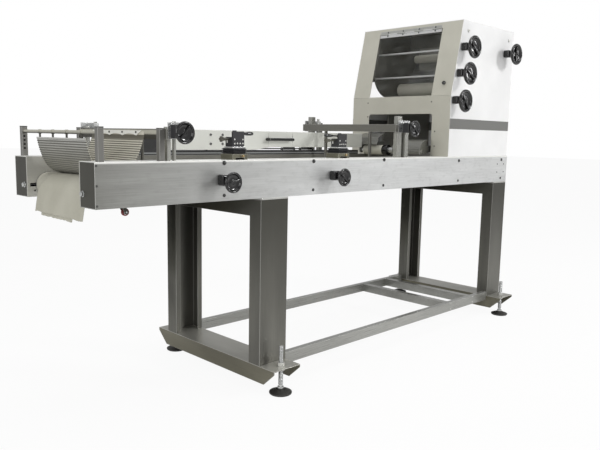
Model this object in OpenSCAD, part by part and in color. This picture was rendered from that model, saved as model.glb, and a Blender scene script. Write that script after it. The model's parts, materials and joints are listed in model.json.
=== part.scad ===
// Baguette moulder: a belt conveyor on a portal stand, with a feed head at one end.
// X runs from the discharge end to the feed head, Y from the operator's side to
// the rear, Z up from the floor. The sub-parts are laid out from the corner of
// the front side box at the discharge end, and place() centres them on the floor.

/* [Conveyor] */
// Length over the side boxes
bed_length = 2825; // [2600:5:3200]
// Width over both side boxes
bed_width = 665; // [640:5:700]
// Height of a side box
box_height = 160; // [154:2:190]
// Thickness of a side box
box_depth = 107; // [100:1:112]
// Sheet thickness of a side box
box_sheet = 2; // [1.5:0.5:3]
// Thickness of the inner frame plates
frame_plate = 5; // [4:1:8]
// Radius of the end roller and of the drive drum
roller_radius = 44; // [36:1:48]
// Thickness of the belt
belt_thickness = 4; // [2:0.5:5]
// Height of the roller axis over the underside of the boxes
roller_rise = 48; // [46:1:56]
// Distance of the end roller's axis from the discharge end
end_roller_x = 82; // [70:1:90]
// Distance of the drive drum's axis from the head's end
drum_inset = 150; // [120:5:200]
// Space between an edge of the belt and the frame plate beside it
belt_margin = 6; // [4:1:12]

/* [Stand] */
// Height of the foot beams' lower edge over the floor
foot_clearance = 50; // [44:1:70]
// Height of a foot beam
beam_height = 74; // [64:1:90]
// Height of a portal frame from the foot beam to its top
portal_height = 720; // [600:5:840]
// Thickness of the mounting plates under the side boxes
mount_plate = 8; // [5:1:12]
// Width of a leg channel
leg_width = 156; // [130:2:180]
// Depth of a leg channel
leg_depth = 72; // [60:2:84]
// Sheet thickness of the stand's channels
leg_sheet = 4; // [3:0.5:5]
// Width of the lips that edge a leg channel
leg_lip = 26; // [16:1:34]
// Distance of the left portal frame from the discharge end
portal_left_x = 740; // [700:5:800]
// How far a portal frame stands behind the rear side box
portal_overhang = 31; // [20:1:50]
// How far a foot beam reaches out in front of the legs
beam_reach_front = 94; // [80:1:120]
// How far a foot beam reaches out behind the legs
beam_reach_rear = 84; // [70:1:110]
// Distance of a levelling stud from the end of its foot beam
stud_inset = 41; // [34:1:50]
// Diameter of a levelling pad
pad_diameter = 100; // [80:1:110]
// Radius of a levelling stud
stud_radius = 10; // [8:0.5:12]
// Height of a floor rail
rail_height = 52; // [40:1:60]
// Depth of a floor rail
rail_depth = 30; // [24:1:40]
// Distance of the front floor rail behind the legs' front face
rail_inset = 4; // [0:1:10]

/* [Discharge end] */
// Side of the square discharge posts
post_side = 22; // [18:1:26]
// Height of the discharge posts over the side boxes
post_height = 119; // [110:1:150]
// Distance of the outer posts' axes from the discharge end
post_outer_x = 30; // [26:1:40]
// Distance between the outer and the inner posts
post_spacing = 240; // [236:1:244]
// Radius of the hanger rod between the outer posts
rod_radius = 7; // [5:0.5:8]
// Thickness of the ribbed mat between its ribs
mat_thickness = 2; // [1.5:0.25:3]
// Height of a rib of the mat
rib_height = 1.5; // [1:0.25:2.5]
// Thickness of the cloth apron
apron_thickness = 1.5; // [1:0.25:3]

/* [Bridges] */
// Distance of the left bridge's wheel axis from the inner posts' axes
bridge_left_gap = 46; // [44:1:60]
// Distance of the right bridge's wheel axis from the discharge end
bridge_right_x = 1718; // [1660:2:1760]
// Height of the left crossbar's underside over the side boxes
crossbar_left_rise = 78; // [70:1:90]
// Height of the right crossbar's underside over the side boxes
crossbar_right_rise = 130; // [126:1:150]
// Height of a crossbar
crossbar_height = 38; // [30:1:44]
// Pitch radius of the rack pinions
pinion_radius = 8; // [7:0.5:9]
// Radius of the guide rods
guide_rod_radius = 7; // [5:0.5:8]
// Gap between the belt and the pressure board
board_gap = 27; // [20:1:34]
// Thickness of the pressure board
pressure_board_thickness = 15; // [10:1:18]

/* [Handwheels] */
// Diameter of the small handwheels
wheel_small = 82; // [70:1:90]
// Diameter of the large handwheels
wheel_large = 125; // [100:1:130]
// Radius of the rim section of a small handwheel
rim_small = 6; // [4:0.5:8]
// Radius of the rim section of a large handwheel
rim_large = 9; // [7:0.5:11]
// Radius of the handwheel spindles
spindle_radius = 6; // [5:0.5:7]
// Distance of a handwheel's rim plane from the panel behind it
wheel_standoff = 78; // [70:1:88]
// Depth of a position indicator
indicator_depth = 40; // [34:1:48]

/* [Guide units] */
// Distance of the left guide unit's edge from the discharge end
unit_left_x = 608; // [570:2:650]
// Distance between the two guide units
unit_spacing = 634; // [600:1:680]
// Width of a guide unit's saddle
saddle_width = 78; // [76:1:96]
// Height of a guide unit's saddle
saddle_height = 23; // [18:1:28]
// Height of the bellows
bellows_height = 23; // [20:1:30]
// Height of the main housing over the bellows' plate
housing_height = 61; // [56:1:72]

/* [Rear board] */
// Length of the white rear board
rear_board_length = 1390; // [1300:5:1410]
// Height of the rear board's top edge over the side boxes
rear_board_top = 121; // [110:1:124]
// Thickness of the rear board
rear_board_thickness = 12; // [8:1:14]

/* [Head] */
// Length of the head along the machine
head_length = 675; // [660:5:700]
// Height of the head over the side boxes
head_height = 765; // [740:5:800]
// Height over the side boxes at which the face starts to lean back
knee_height = 342; // [330:1:350]
// How far the face leans back from the knee to the top
face_run = 94; // [80:1:110]
// Thickness of the painted covers
cover_sheet = 3; // [2:0.5:4]
// Thickness of the two plates that carry the rollers
head_plate = 10; // [6:1:12]
// Thickness of the clear guard door
guard_sheet = 4; // [3:0.5:6]
// Radius of the upper feed roller
upper_radius = 25; // [20:1:26]
// Radius of the lower feed roller
lower_radius = 40; // [34:1:42]
// Radius of the nose roller
nose_radius = 29; // [25:1:32]

/* [Hidden] */
$fn = 48;

// Running clearance of a shaft in its bearing, on the radius
running = 0.05;
// Clearance of a shaft in a hole that doesn't guide it, on the radius
loose = 1;
// Gap between faces that pass each other
pass_gap = 0.3;

// Heights from the floor up
beam_top = foot_clearance + beam_height;
portal_top = beam_top + portal_height;
box_base = portal_top + mount_plate;
box_top = box_base + box_height;
roller_z = box_base + roller_rise;
belt_outer = roller_radius + pass_gap + belt_thickness;
belt_top = roller_z + belt_outer;
drum_x = bed_length - drum_inset;
head_x = bed_length - head_length;

// Depths from the front face of the front side box
inner_front = box_depth;
inner_rear = bed_width - box_depth;
bed_front = inner_front + frame_plate;
bed_rear = inner_rear - frame_plate;
belt_front = bed_front + belt_margin;
belt_rear = bed_rear - belt_margin;
portal_rear = bed_width + portal_overhang;
beam_front = -beam_reach_front;
beam_rear = portal_rear + beam_reach_rear;
portal_right_x = bed_length - leg_width;

// Levelling feet
stud_left_x = portal_left_x + leg_width / 2;
stud_right_x = portal_right_x + leg_width / 2;
stud_front = beam_front + stud_inset;
stud_rear = beam_rear - stud_inset;
stud_top = beam_top + 91;
pad_height = 20;
nut_height = 16;
nut_radius = stud_radius * 1.7;

// Floor rails
rail_sheet = 3;
rail_base = beam_top - 26;
rail_top = rail_base + rail_height;
rail_front = rail_inset;
rail_rear = portal_rear - rail_inset;
crossbar_floor_x = [bed_length - 570, bed_length - 322];
floor_bar_width = 40;

// End bolts that set the end roller
tension_bolt_y = box_depth - 20;
tension_head = 10;
bolt_shank = 5;

// The whole machine is centred over its floor box
pad_front = stud_front - pad_diameter / 2;
pad_rear = stud_rear + pad_diameter / 2;
centre_x = (bed_length - tension_head) / 2;
centre_y = (pad_front + pad_rear) / 2;

// Discharge end
post_inner_x = post_outer_x + post_spacing;
post_front = 21;
post_top = box_top + post_height;
post_cap = 5;
post_wall = 2;
rod_z = box_top + 98;
clamp_bar = 8;
clamp_bar_x = post_inner_x - clamp_bar;
clamp_bar_z = [box_top + 78, box_top + 112];
mat_y = [belt_front, belt_rear - 27];
mat_top_outer = rod_z - 21;
strip_sheet = 2.5;

// Bridges
bridge_left_x = post_inner_x + bridge_left_gap;
column_y = [12, 36];
column_top = box_top + 210;
left_rack = [bridge_left_x - pinion_radius - 15, bridge_left_x - pinion_radius];
right_rack = [bridge_right_x - pinion_radius - 34, bridge_right_x - pinion_radius];
left_column_top = box_top + 86 + crossbar_height;
left_bar_x = [left_rack[0] - 11, left_rack[0] - 1];
right_bar_x = [right_rack[0] - 31, right_rack[0] - 11];
left_rod = [bridge_left_x + 20, 33];
right_rod = [bridge_right_x + 17, 35];
left_axis_z = box_top + crossbar_left_rise + 25;
right_axis_z = box_top + crossbar_right_rise + 18;
left_plate = [[left_rack[0] - 7, bridge_left_x + 30], [left_axis_z - 23, left_axis_z + 37]];
right_plate = [[right_bar_x[1] - 1, bridge_right_x + 42], [right_axis_z - 20, right_axis_z + 40]];
plate_sheet = 4;
bridge_block_y = [-40, -plate_sheet];
bridge_wheel_y = -66;
board_z = belt_top + board_gap;
board_y = [belt_front + 12, belt_rear - 12];
board_x = [left_bar_x[0], right_bar_x[1] + 35];

// Guide units
unit_right_x = unit_left_x + unit_spacing;
saddle_y = [25, 103];
bellows_z = box_top + saddle_height;
plate_z = bellows_z + bellows_height;
unit_plate = 6;
housing_z = plate_z + unit_plate;
housing_x = [4, saddle_width - 12];
housing_y = [31, 79];
front_block = [housing_y[0], housing_y[0] + 8];
low_block = [front_block[1] - 2, housing_y[1]];
low_block_height = 39;
lever_x = housing_x[0] + 30;
lever_y = front_block[1] + 10;
lever_z = housing_z + housing_height - 10;
knob_z = housing_z + 30;
knob_y = 55;

// Rear board
rear_board_end = head_x - 120;
rear_board_x = [rear_board_end - rear_board_length, rear_board_end];
rear_board_y = [belt_rear - 7, belt_rear - 7 + rear_board_thickness];
rear_board_z = box_top + 25;
rail_black_y = [rear_board_y[1] + 4, rear_board_y[1] + 48];
rail_black_top = box_top + 23;
board_pin_y = rear_board_y[1] + 10;
board_pin_z = rail_black_top + 8;
board_pin_radius = 3;
ear_radius = 6;
ears = [for (ear = [[240, 328], [747, 830], [885, 970]]) [rear_board_x[0] + ear[0], rear_board_x[0] + ear[1]]];

// Side handwheels on the front box
side_wheel_x = [unit_left_x - 79, unit_right_x - 70];
side_wheel_z = box_base + 78;

// Head
head_top = box_top + head_height;
knee_z = box_top + knee_height;
lean = atan(face_run / (head_top - knee_z));
face_length = norm([face_run, head_top - knee_z]);
head_front = 5;
head_rear = bed_width + 55;
plate_front = [128, 128 + head_plate];
plate_rear = [head_rear - 130, head_rear - 130 + head_plate];
window_y = [plate_front[1], plate_rear[0]];
window_top = face_length - 38;
setback = 12;
plate_top = head_top - setback;
plate_end = bed_length - 15;
function face_x(z) = z < knee_z ? head_x : head_x + face_run * (z - knee_z) / (head_top - knee_z);
head_wheels = [
    [head_x + 90, box_top + 607],
    [head_x + 58, box_top + 461],
    [head_x + 24, box_top + 310],
    [head_x + 574, box_top + 615]
];
upper_axis = [head_x + 461, box_top + 617];
lower_axis = [head_x + 303, box_top + 407];
nose_axis = [head_x - 70, box_top + 27];
nose_pivot = [head_x + 190, box_top + 68];
nose_guard = 65;
chute = [
    [upper_axis[0] + 63, plate_top],
    [upper_axis[0] + 50, upper_axis[1] + 11],
    [lower_axis[0] + 61, lower_axis[1] + 11],
    [lower_axis[0] + 58, lower_axis[1] - 49]
];
hinge_x = -3.2;
lock_at = [65, 72];
chute_sheet = 3;
hopper_x = [upper_axis[0] - 36, upper_axis[0] + 44];
hopper_y = [window_y[0] + 22, window_y[1] - 20];
hopper_apron_x = [hopper_x[0] - 12, hopper_x[0] - 9];
exit_top = box_top + 241;
exit_y = [126, plate_rear[0]];
hinge_radius = 3;
hinge_pin = 1.2;
leaf_sheet = 1.5;
leaf_width = 20;
knuckles = 7;
hinge_y = [window_y[0] + 4, window_y[1] - 4];
knuckle_length = (hinge_y[1] - hinge_y[0]) / knuckles;
hinge_screws = 4;
hinge_pitch = (hinge_y[1] - hinge_y[0]) / hinge_screws;

// Shared shapes

module place() {
    translate([-centre_x, -centre_y, 0]) children();
}

module span(x, y, z) {
    translate([x[0], y[0], z[0]]) cube([x[1] - x[0], y[1] - y[0], z[1] - z[0]]);
}

module rod_x(x, y, z, r) {
    translate([x[0], y, z]) rotate([0, 90, 0]) cylinder(r = r, h = x[1] - x[0]);
}

module rod_y(x, y, z, r) {
    translate([x, y[0], z]) rotate([-90, 0, 0]) cylinder(r = r, h = y[1] - y[0]);
}

module rod_z(x, y, z, r) {
    translate([x, y, z[0]]) cylinder(r = r, h = z[1] - z[0]);
}

// An outline in X and Z, given a thickness along Y
module slab_y(y) {
    translate([0, y[1], 0]) rotate([90, 0, 0]) linear_extrude(y[1] - y[0]) children();
}

// An outline in Y and Z, given a thickness along X
module slab_x(x) {
    translate([x[0], 0, 0]) rotate([90, 0, 90]) linear_extrude(x[1] - x[0]) children();
}

module mirror_side() {
    translate([0, bed_width, 0]) mirror([0, 1, 0]) children();
}

module both_sides() {
    children();
    mirror_side() children();
}

module round_rect(low, high, r) {
    translate([low[0] + r, low[1]]) square([high[0] - low[0] - 2 * r, high[1] - low[1]]);
    translate([low[0], low[1] + r]) square([high[0] - low[0], high[1] - low[1] - 2 * r]);
    for (x = [low[0] + r, high[0] - r], z = [low[1] + r, high[1] - r])
        translate([x, z]) circle(r);
}

// A straight link between two points, with an eye a little wider than the link at each end
module link(a, b, width) {
    run = b - a;
    translate(a) rotate(atan2(run[1], run[0])) translate([0, -width / 2]) square([norm(run), width]);
    for (end = [a, b]) translate(end) circle(width * 0.55);
}

// Outline of a bent sheet: the list of points is one face, and the other lies to its left
module bent_sheet(points, thickness) {
    last = len(points) - 1;
    function side(i) = let (run = points[i + 1] - points[i]) [-run[1], run[0]] / norm(run);
    function mitre(i) = i == 0 ? side(0) : i == last ? side(last - 1)
        : (side(i - 1) + side(i)) / (1 + side(i - 1) * side(i));
    polygon(concat(points, [for (i = [last:-1:0]) points[i] + mitre(i) * thickness]));
}

// A domed screw head on a face that looks along -Y
module dome_y(x, y, z, r) {
    translate([x, y, z]) rotate([90, 0, 0]) {
        cylinder(r = r, h = r * 0.3);
        translate([0, 0, r * 0.3]) cylinder(r1 = r, r2 = r * 0.7, h = r * 0.25);
    }
}

module dome_x(x, y, z, r) {
    translate([x, y, z]) rotate([0, -90, 0]) {
        cylinder(r = r, h = r * 0.3);
        translate([0, 0, r * 0.3]) cylinder(r1 = r, r2 = r * 0.7, h = r * 0.25);
    }
}

// A dished handwheel: rim, web, grip bar across the dish, hub and spindle
module handwheel(x, y, z, diameter, rim, grip_angle, hub_end, spindle_end) {
    translate([x, y, z]) rotate([-90, 0, 0]) {
        rotate_extrude() translate([diameter / 2 - rim, 0]) circle(rim, $fn = 24);
        translate([0, 0, rim - 4]) cylinder(r = diameter / 2 - rim, h = 4);
        rotate(grip_angle) translate([-diameter / 2 + rim, -rim * 0.7, -rim * 0.5])
            cube([diameter - 2 * rim, rim * 1.4, rim * 1.5 - 2]);
        translate([0, 0, rim - 2]) cylinder(r = rim * 2, h = hub_end - y - rim + 2);
        cylinder(r = spindle_radius, h = spindle_end - y);
    }
}

// A position indicator: a rounded block that the spindle runs through
module indicator(x, face, z) {
    half = 20;
    difference() {
        slab_y([face - indicator_depth, face])
            round_rect([x - half, z - 16], [x + half, z + 28], 6);
        rod_y(x, [face - indicator_depth - 1, face + 1], z, spindle_radius + running);
    }
}

// Stand

module foot_beam(x) {
    slant = beam_height * 0.9;
    outer = [
        [beam_front, beam_top], [beam_rear, beam_top], [beam_rear, beam_top - 14],
        [beam_rear - slant, foot_clearance], [beam_front + slant, foot_clearance],
        [beam_front, beam_top - 14]
    ];
    difference() {
        slab_x([x, x + leg_width]) polygon(outer);
        span([x + leg_sheet, x + leg_width - leg_sheet], [beam_front - 1, beam_rear + 1],
            [foot_clearance - 1, beam_top - leg_sheet]);
        for (y = [stud_front, stud_rear])
            rod_z(x + leg_width / 2, y, [beam_top - leg_sheet - 1, beam_top + 1], stud_radius + running);
    }
}

module foot_beams() {
    color("dimgray") place() {
        foot_beam(portal_left_x);
        foot_beam(portal_right_x);
    }
}

// A lipped channel that opens along +Y, in the X-Y plane
module channel_outline() {
    inner = leg_width - leg_sheet;
    difference() {
        square([leg_width, leg_depth]);
        translate([leg_sheet, leg_sheet]) square([leg_width - 2 * leg_sheet, leg_depth - 2 * leg_sheet]);
        translate([leg_lip, leg_sheet]) square([inner - 2 * leg_lip + leg_sheet, leg_depth]);
    }
}

// Two legs and a top beam, mitred and welded
module portal(x) {
    height = portal_height;
    module leg() {
        difference() {
            linear_extrude(height) channel_outline();
            translate([-1, 0, height]) rotate([-45, 0, 0])
                translate([0, 0, -0.001]) cube([leg_width + 2, leg_depth * 2, leg_depth * 2]);
        }
    }
    module beam() {
        difference() {
            translate([0, 0, height]) rotate([-90, 0, 0]) linear_extrude(portal_rear) channel_outline();
            translate([-1, 0, height]) rotate([-45, 0, 0]) mirror([0, 0, 1])
                cube([leg_width + 2, leg_depth * 2, leg_depth * 2]);
            translate([-1, portal_rear, height]) mirror([0, 1, 0]) rotate([-45, 0, 0]) mirror([0, 0, 1])
                cube([leg_width + 2, leg_depth * 2, leg_depth * 2]);
        }
    }
    translate([x, 0, beam_top]) {
        leg();
        translate([0, portal_rear, 0]) mirror([0, 1, 0]) leg();
        beam();
    }
}

module portal_left() {
    color("dimgray") place() portal(portal_left_x);
}

module portal_right() {
    color("dimgray") place() portal(portal_right_x);
}

module tube_x(x, y, z) {
    difference() {
        span(x, y, z);
        span([x[0] - 1, x[1] + 1], [y[0] + rail_sheet, y[1] - rail_sheet], [z[0] + rail_sheet, z[1] - rail_sheet]);
    }
}

module stand_rails() {
    x = [portal_left_x + leg_width, portal_right_x];
    color("silver") place() {
        tube_x(x, [rail_front, rail_front + rail_depth], [rail_base, rail_top]);
        tube_x(x, [rail_rear - rail_depth, rail_rear], [rail_base, rail_top]);
        for (bar = crossbar_floor_x)
            difference() {
                span([bar - floor_bar_width / 2, bar + floor_bar_width / 2],
                    [rail_front + rail_depth, rail_rear - rail_depth], [rail_base + 2, rail_top - 3]);
                span([bar - floor_bar_width / 2 + rail_sheet, bar + floor_bar_width / 2 - rail_sheet],
                    [rail_front + rail_depth - 1, rail_rear - rail_depth + 1],
                    [rail_base + 1, rail_top - 3 - rail_sheet]);
            }
    }
}

module nut(x, y, z) {
    difference() {
        translate([x, y, z]) cylinder(r = nut_radius, h = nut_height, $fn = 6);
        rod_z(x, y, [z - 1, z + nut_height + 1], stud_radius + running);
    }
}

module stand_fasteners() {
    inset = 6;
    color("gainsboro") place() {
        both_sides() {
            span([portal_left_x + inset, portal_left_x + leg_width], [0, box_depth], [portal_top, box_base]);
            span([portal_right_x + inset, bed_length], [0, box_depth], [portal_top, box_base]);
        }
        for (x = [stud_left_x, stud_right_x], y = [stud_front, stud_rear]) {
            nut(x, y, beam_top);
            nut(x, y, beam_top - leg_sheet - nut_height);
        }
        for (x = crossbar_floor_x, z = [rail_base + 12, rail_top - 5]) dome_y(x, rail_front, z, 5);
    }
}

module levelling_foot(x, y) {
    color("dimgray") place() translate([x, y, 0]) {
        cylinder(d = pad_diameter, h = pad_height * 0.45);
        translate([0, 0, pad_height * 0.45]) cylinder(d1 = pad_diameter, d2 = 44, h = pad_height * 0.55);
        translate([0, 0, pad_height]) cylinder(r = stud_radius + 4, h = 12);
        cylinder(r = stud_radius, h = stud_top);
    }
}

module levelling_foot_1() { levelling_foot(stud_left_x, stud_front); }
module levelling_foot_2() { levelling_foot(stud_right_x, stud_front); }
module levelling_foot_3() { levelling_foot(stud_left_x, stud_rear); }
module levelling_foot_4() { levelling_foot(stud_right_x, stud_rear); }

// Conveyor

module side_panels() {
    color("lightgray") place() {
        difference() {
            span([0, bed_length], [0, box_depth], [box_base, box_top]);
            span([-1, bed_length + 1], [box_sheet, box_depth + 1], [box_base + box_sheet, box_top - box_sheet]);
            for (x = side_wheel_x) rod_y(x, [-1, box_sheet + 1], side_wheel_z, spindle_radius + loose);
        }
        mirror_side() difference() {
            span([0, bed_length], [0, box_depth], [box_base, box_top]);
            span([-1, bed_length + 1], [box_sheet, box_depth + 1], [box_base + box_sheet, box_top - box_sheet]);
        }
    }
}

module inner_plate() {
    slot = [11, end_roller_x + 16];
    difference() {
        span([0, bed_length], [inner_front, bed_front], [box_base, box_top]);
        slab_y([inner_front - 1, bed_front + 1])
            round_rect([slot[0], roller_z - 7], [slot[1], roller_z + 7], 3);
        rod_y(30, [inner_front - 1, bed_front + 1], roller_z - 23, 4);
        rod_y(drum_x, [inner_front - 1, bed_front + 1], roller_z, 6 + running);
    }
}

// Block in the side box that the end roller's journal turns in
module bearing_block() {
    difference() {
        span([end_roller_x - 12, end_roller_x + 12], [box_depth - 27, box_depth], [roller_z - 12, roller_z + 12]);
        rod_y(end_roller_x, [box_depth - 28, box_depth + 1], roller_z, 6 + running);
    }
}

module conveyor_frame() {
    slider = 3;
    color("silver") place() {
        difference() {
            union() {
                inner_plate();
                mirror_side() inner_plate();
                span([end_roller_x + 68, drum_x - 75], [bed_front, bed_rear],
                    [belt_top - belt_thickness - pass_gap - slider, belt_top - belt_thickness - pass_gap]);
            }
            for (x = side_wheel_x)
                rod_y(x, [inner_front - 1, bed_front + 1], side_wheel_z, spindle_radius + running);
        }
        both_sides() bearing_block();
    }
}

module end_caps() {
    cap = 4;
    color("dimgray") place() both_sides() {
        difference() {
            span([0, cap], [box_sheet, box_depth], [box_base + box_sheet, box_top - box_sheet]);
            rod_x([-1, cap + 1], tension_bolt_y, roller_z, bolt_shank + loose);
        }
        span([bed_length - cap, bed_length], [box_sheet, box_depth], [box_base + box_sheet, box_top - box_sheet]);
    }
}

module panel_screws() {
    upper_bolts = [546, 1050, 1558, head_x + 106, bed_length - 72];
    color("black") place() {
        for (i = [0:len(upper_bolts) - 1]) {
            dome_y(upper_bolts[i], 0, i < 3 ? box_top - 10 : box_top - 23, 9);
            dome_y(upper_bolts[i], 0, box_base + 22, 7);
        }
        for (z = [box_top - 12, box_top - 80, box_base + 12]) dome_y(6, 0, z, 4);
        for (x = [bed_length - 120, bed_length - 40], z = [box_base + 60, box_base + 110]) dome_y(x, 0, z, 4);
        for (p = [[head_x + 145, head_top - 56], [bed_length - 59, head_top - 59]])
            dome_y(p[0], head_front, p[1], 9);
        for (p = [[window_y[1] + 10, knee_z - 31], [window_y[0] - 4, knee_z - 33],
                  [103, box_top + 141], [102, box_top + 57], [window_y[1] + 10, box_top + 227]])
            dome_x(head_x, p[0], p[1], 4);
        both_sides() {
            translate([-tension_head, tension_bolt_y, roller_z]) rotate([0, 90, 0])
                cylinder(r = 9, h = tension_head - 2, $fn = 6);
            rod_x([-2, 0], tension_bolt_y, roller_z, 11);
            rod_x([-2, end_roller_x - 12], tension_bolt_y, roller_z, bolt_shank);
        }
    }
}

module stadium(radius) {
    translate([end_roller_x, roller_z - radius]) square([drum_x - end_roller_x, 2 * radius]);
    for (x = [end_roller_x, drum_x]) translate([x, roller_z]) circle(radius, $fn = 96);
}

module belt() {
    color("wheat") place() slab_y([belt_front, belt_rear]) difference() {
        stadium(belt_outer);
        stadium(belt_outer - belt_thickness);
    }
}

module end_roller() {
    color("silver") place() {
        rod_y(end_roller_x, [belt_front - 3, belt_rear + 3], roller_z, roller_radius);
        rod_y(end_roller_x, [box_depth - 27, bed_width - box_depth + 27], roller_z, 6);
    }
}

module drive_drum() {
    color("dimgray") place() {
        rod_y(drum_x, [belt_front - 3, belt_rear + 3], roller_z, roller_radius);
        rod_y(drum_x, [box_depth - 20, bed_width - box_depth + 20], roller_z, 6);
    }
}

// Discharge end

function bezier(p, t) = pow(1 - t, 3) * p[0] + 3 * pow(1 - t, 2) * t * p[1]
    + 3 * (1 - t) * t * t * p[2] + pow(t, 3) * p[3];

// Route of the mat's middle line: down the outer curtain, along the belt, up the inner curtain
mat_low = belt_top + pass_gap + rib_height + mat_thickness / 2;
mat_outer = [[post_outer_x, mat_top_outer], [post_outer_x + 8, mat_top_outer - 54],
    [post_outer_x + 30, mat_low + 10], [post_outer_x + 82, mat_low]];
mat_end = [clamp_bar_x - mat_thickness / 2, clamp_bar_z[1] - 28];
mat_inner = [[post_inner_x - 120, mat_low], [post_inner_x - 70, mat_low + 4],
    [post_inner_x - 34, mat_low + 60], mat_end];
mat_steps = 48;
mat_flat_steps = 10;
mat_clamped = 6;
mat_route = concat(
    [for (i = [0:mat_steps - 1]) bezier(mat_outer, i / mat_steps)],
    [for (i = [0:mat_flat_steps - 1]) mat_outer[3] + (mat_inner[0] - mat_outer[3]) * i / mat_flat_steps],
    [for (i = [0:mat_steps]) bezier(mat_inner, i / mat_steps)],
    [for (i = [1:mat_clamped]) mat_end + [0, 22 * i / mat_clamped]]
);
mat_last = len(mat_route) - 1;
function mat_heading(i) = mat_route[min(i + 1, mat_last)] - mat_route[max(i - 1, 0)];
function mat_normal(i) = [-mat_heading(i)[1], mat_heading(i)[0]] / norm(mat_heading(i));
// Every second step of the route carries a rib, except where the mat is held
function mat_half(i) = mat_thickness / 2 + (i % 2 == 1 && i > 1 && i < mat_last - mat_clamped - 1 ? rib_height : 0);

module ribbed_mat() {
    upper = [for (i = [0:mat_last]) mat_route[i] + mat_normal(i) * mat_half(i)];
    lower = [for (i = [0:mat_last]) mat_route[mat_last - i] - mat_normal(mat_last - i) * mat_half(mat_last - i)];
    color("tan") place() slab_y(mat_y) polygon(concat(upper, lower));
}

// The apron runs over the belt's end and hangs down in front of it
apron_gap = belt_outer + 2 * pass_gap;
apron_drop = 97;
apron_across = 20;
apron_down = 24;
apron_y = [belt_front + 2, belt_rear - 29];
apron_arc = 90;
function apron_mid(s) = s < 0.25
    ? [end_roller_x + (1 - s / 0.25) * 10, roller_z + apron_gap]
    : s < 0.6
        ? [end_roller_x, roller_z] + apron_gap * [-sin((s - 0.25) / 0.35 * apron_arc), cos((s - 0.25) / 0.35 * apron_arc)]
        : [end_roller_x - apron_gap, roller_z] + (s - 0.6) / 0.4 * [-16, -apron_drop];
// The hanging part falls in broad shallow folds that deepen towards the hem
function apron_fold(s, v) = s < 0.6 ? 0 : 5 * (s - 0.6) * (1 + sin(v * 900 + 40));
function apron_hem(s, v) = s < 0.95 ? 0 : 3 * sin(v * 720) - (v > 0.2 && v < 0.62 ? 9 : 0);
function apron_at(s, v, side) = let (
    out = s < 0.25 ? [0, 1] : s < 0.6
        ? [-sin((s - 0.25) / 0.35 * apron_arc), cos((s - 0.25) / 0.35 * apron_arc)] : [-1, 0],
    p = apron_mid(s) + out * (side * apron_thickness + apron_fold(s, v))
) [p[0], apron_y[0] + v * (apron_y[1] - apron_y[0]), p[1] + apron_hem(s, v)];

module cloth_apron() {
    row = apron_across + 1;
    layer = row * (apron_down + 1);
    points = [for (side = [0, 1], i = [0:apron_down], j = [0:apron_across])
        apron_at(i / apron_down, j / apron_across, side)];
    function quad(a, b, c, d) = [[a, b, c], [a, c, d]];
    inner = [for (i = [0:apron_down - 1], j = [0:apron_across - 1])
        each let (k = i * row + j) quad(k, k + 1, k + row + 1, k + row)];
    outer = [for (i = [0:apron_down - 1], j = [0:apron_across - 1])
        each let (k = layer + i * row + j) quad(k, k + row, k + row + 1, k + 1)];
    ends = [for (j = [0:apron_across - 1])
        each let (a = j, b = apron_down * row + j)
            concat(quad(a, a + layer, a + layer + 1, a + 1), quad(b, b + 1, b + layer + 1, b + layer))];
    edges = [for (i = [0:apron_down - 1])
        each let (a = i * row, b = i * row + apron_across)
            concat(quad(a, a + row, a + row + layer, a + layer), quad(b, b + layer, b + row + layer, b + row))];
    color("wheat") place() polyhedron(points, concat(inner, outer, ends, edges));
}

module discharge_post(x) {
    half = post_side / 2;
    difference() {
        span([x - half, x + half], [post_front - half, post_front + half], [box_top, post_top - post_cap]);
        span([x - half + post_wall, x + half - post_wall],
            [post_front - half + post_wall, post_front + half - post_wall], [box_top - 1, post_top]);
        for (z = [18, 35, 51, 68]) rod_y(x, [post_front, post_front + half + 1], rod_z - z, 2.5);
    }
}

module discharge_posts() {
    color("gray") place() both_sides() for (x = [post_outer_x, post_inner_x]) discharge_post(x);
}

module post_caps() {
    half = post_side / 2;
    color("black") place() both_sides() for (x = [post_outer_x, post_inner_x])
        span([x - half - 0.5, x + half + 0.5], [post_front - half - 0.5, post_front + half + 0.5],
            [post_top - post_cap, post_top]);
}

module hanger_bars() {
    inner = [post_front + post_side / 2, bed_width - post_front - post_side / 2];
    loops = 4;
    color("silver") place() {
        rod_y(post_outer_x, inner, rod_z, rod_radius);
        for (i = [0:loops - 1]) {
            y = mat_y[0] + 30 + i * (mat_y[1] - mat_y[0] - 60) / (loops - 1);
            rod_y(post_outer_x, [y - 7, y + 7], rod_z, rod_radius + 1.5);
            span([post_outer_x - 1, post_outer_x + 1], [y - 7, y + 7], [mat_top_outer + pass_gap, rod_z]);
        }
        span([clamp_bar_x, clamp_bar_x + clamp_bar], inner, clamp_bar_z);
    }
}

// The strip that clamps the mat: a straight top edge and a hem that sags between the screws
module scalloped_strip() {
    top = clamp_bar_z[1] - 3;
    bays = 4;
    steps = 12;
    width = (mat_y[1] - mat_y[0]) / bays;
    hem = [for (i = [0:bays * steps]) [mat_y[0] + i * width / steps, top - 12 - 7 * abs(sin(180 * i / steps))]];
    x = clamp_bar_x - mat_thickness;
    color("white") place() {
        slab_x([x - strip_sheet, x]) polygon(concat(hem, [[mat_y[1], top], [mat_y[0], top]]));
        for (i = [0:bays]) {
            y = min(max(mat_y[0] + i * width, mat_y[0] + 8), mat_y[1] - 8);
            dome_x(x - strip_sheet, y, top - 6, 4);
        }
    }
}

// Wheel under the front box
tracking_x = 140;
tracking_z = box_base - 21;
tracking_radius = 14;
tracking_y = [46, 60];
tracking_pin = 3;

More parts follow.
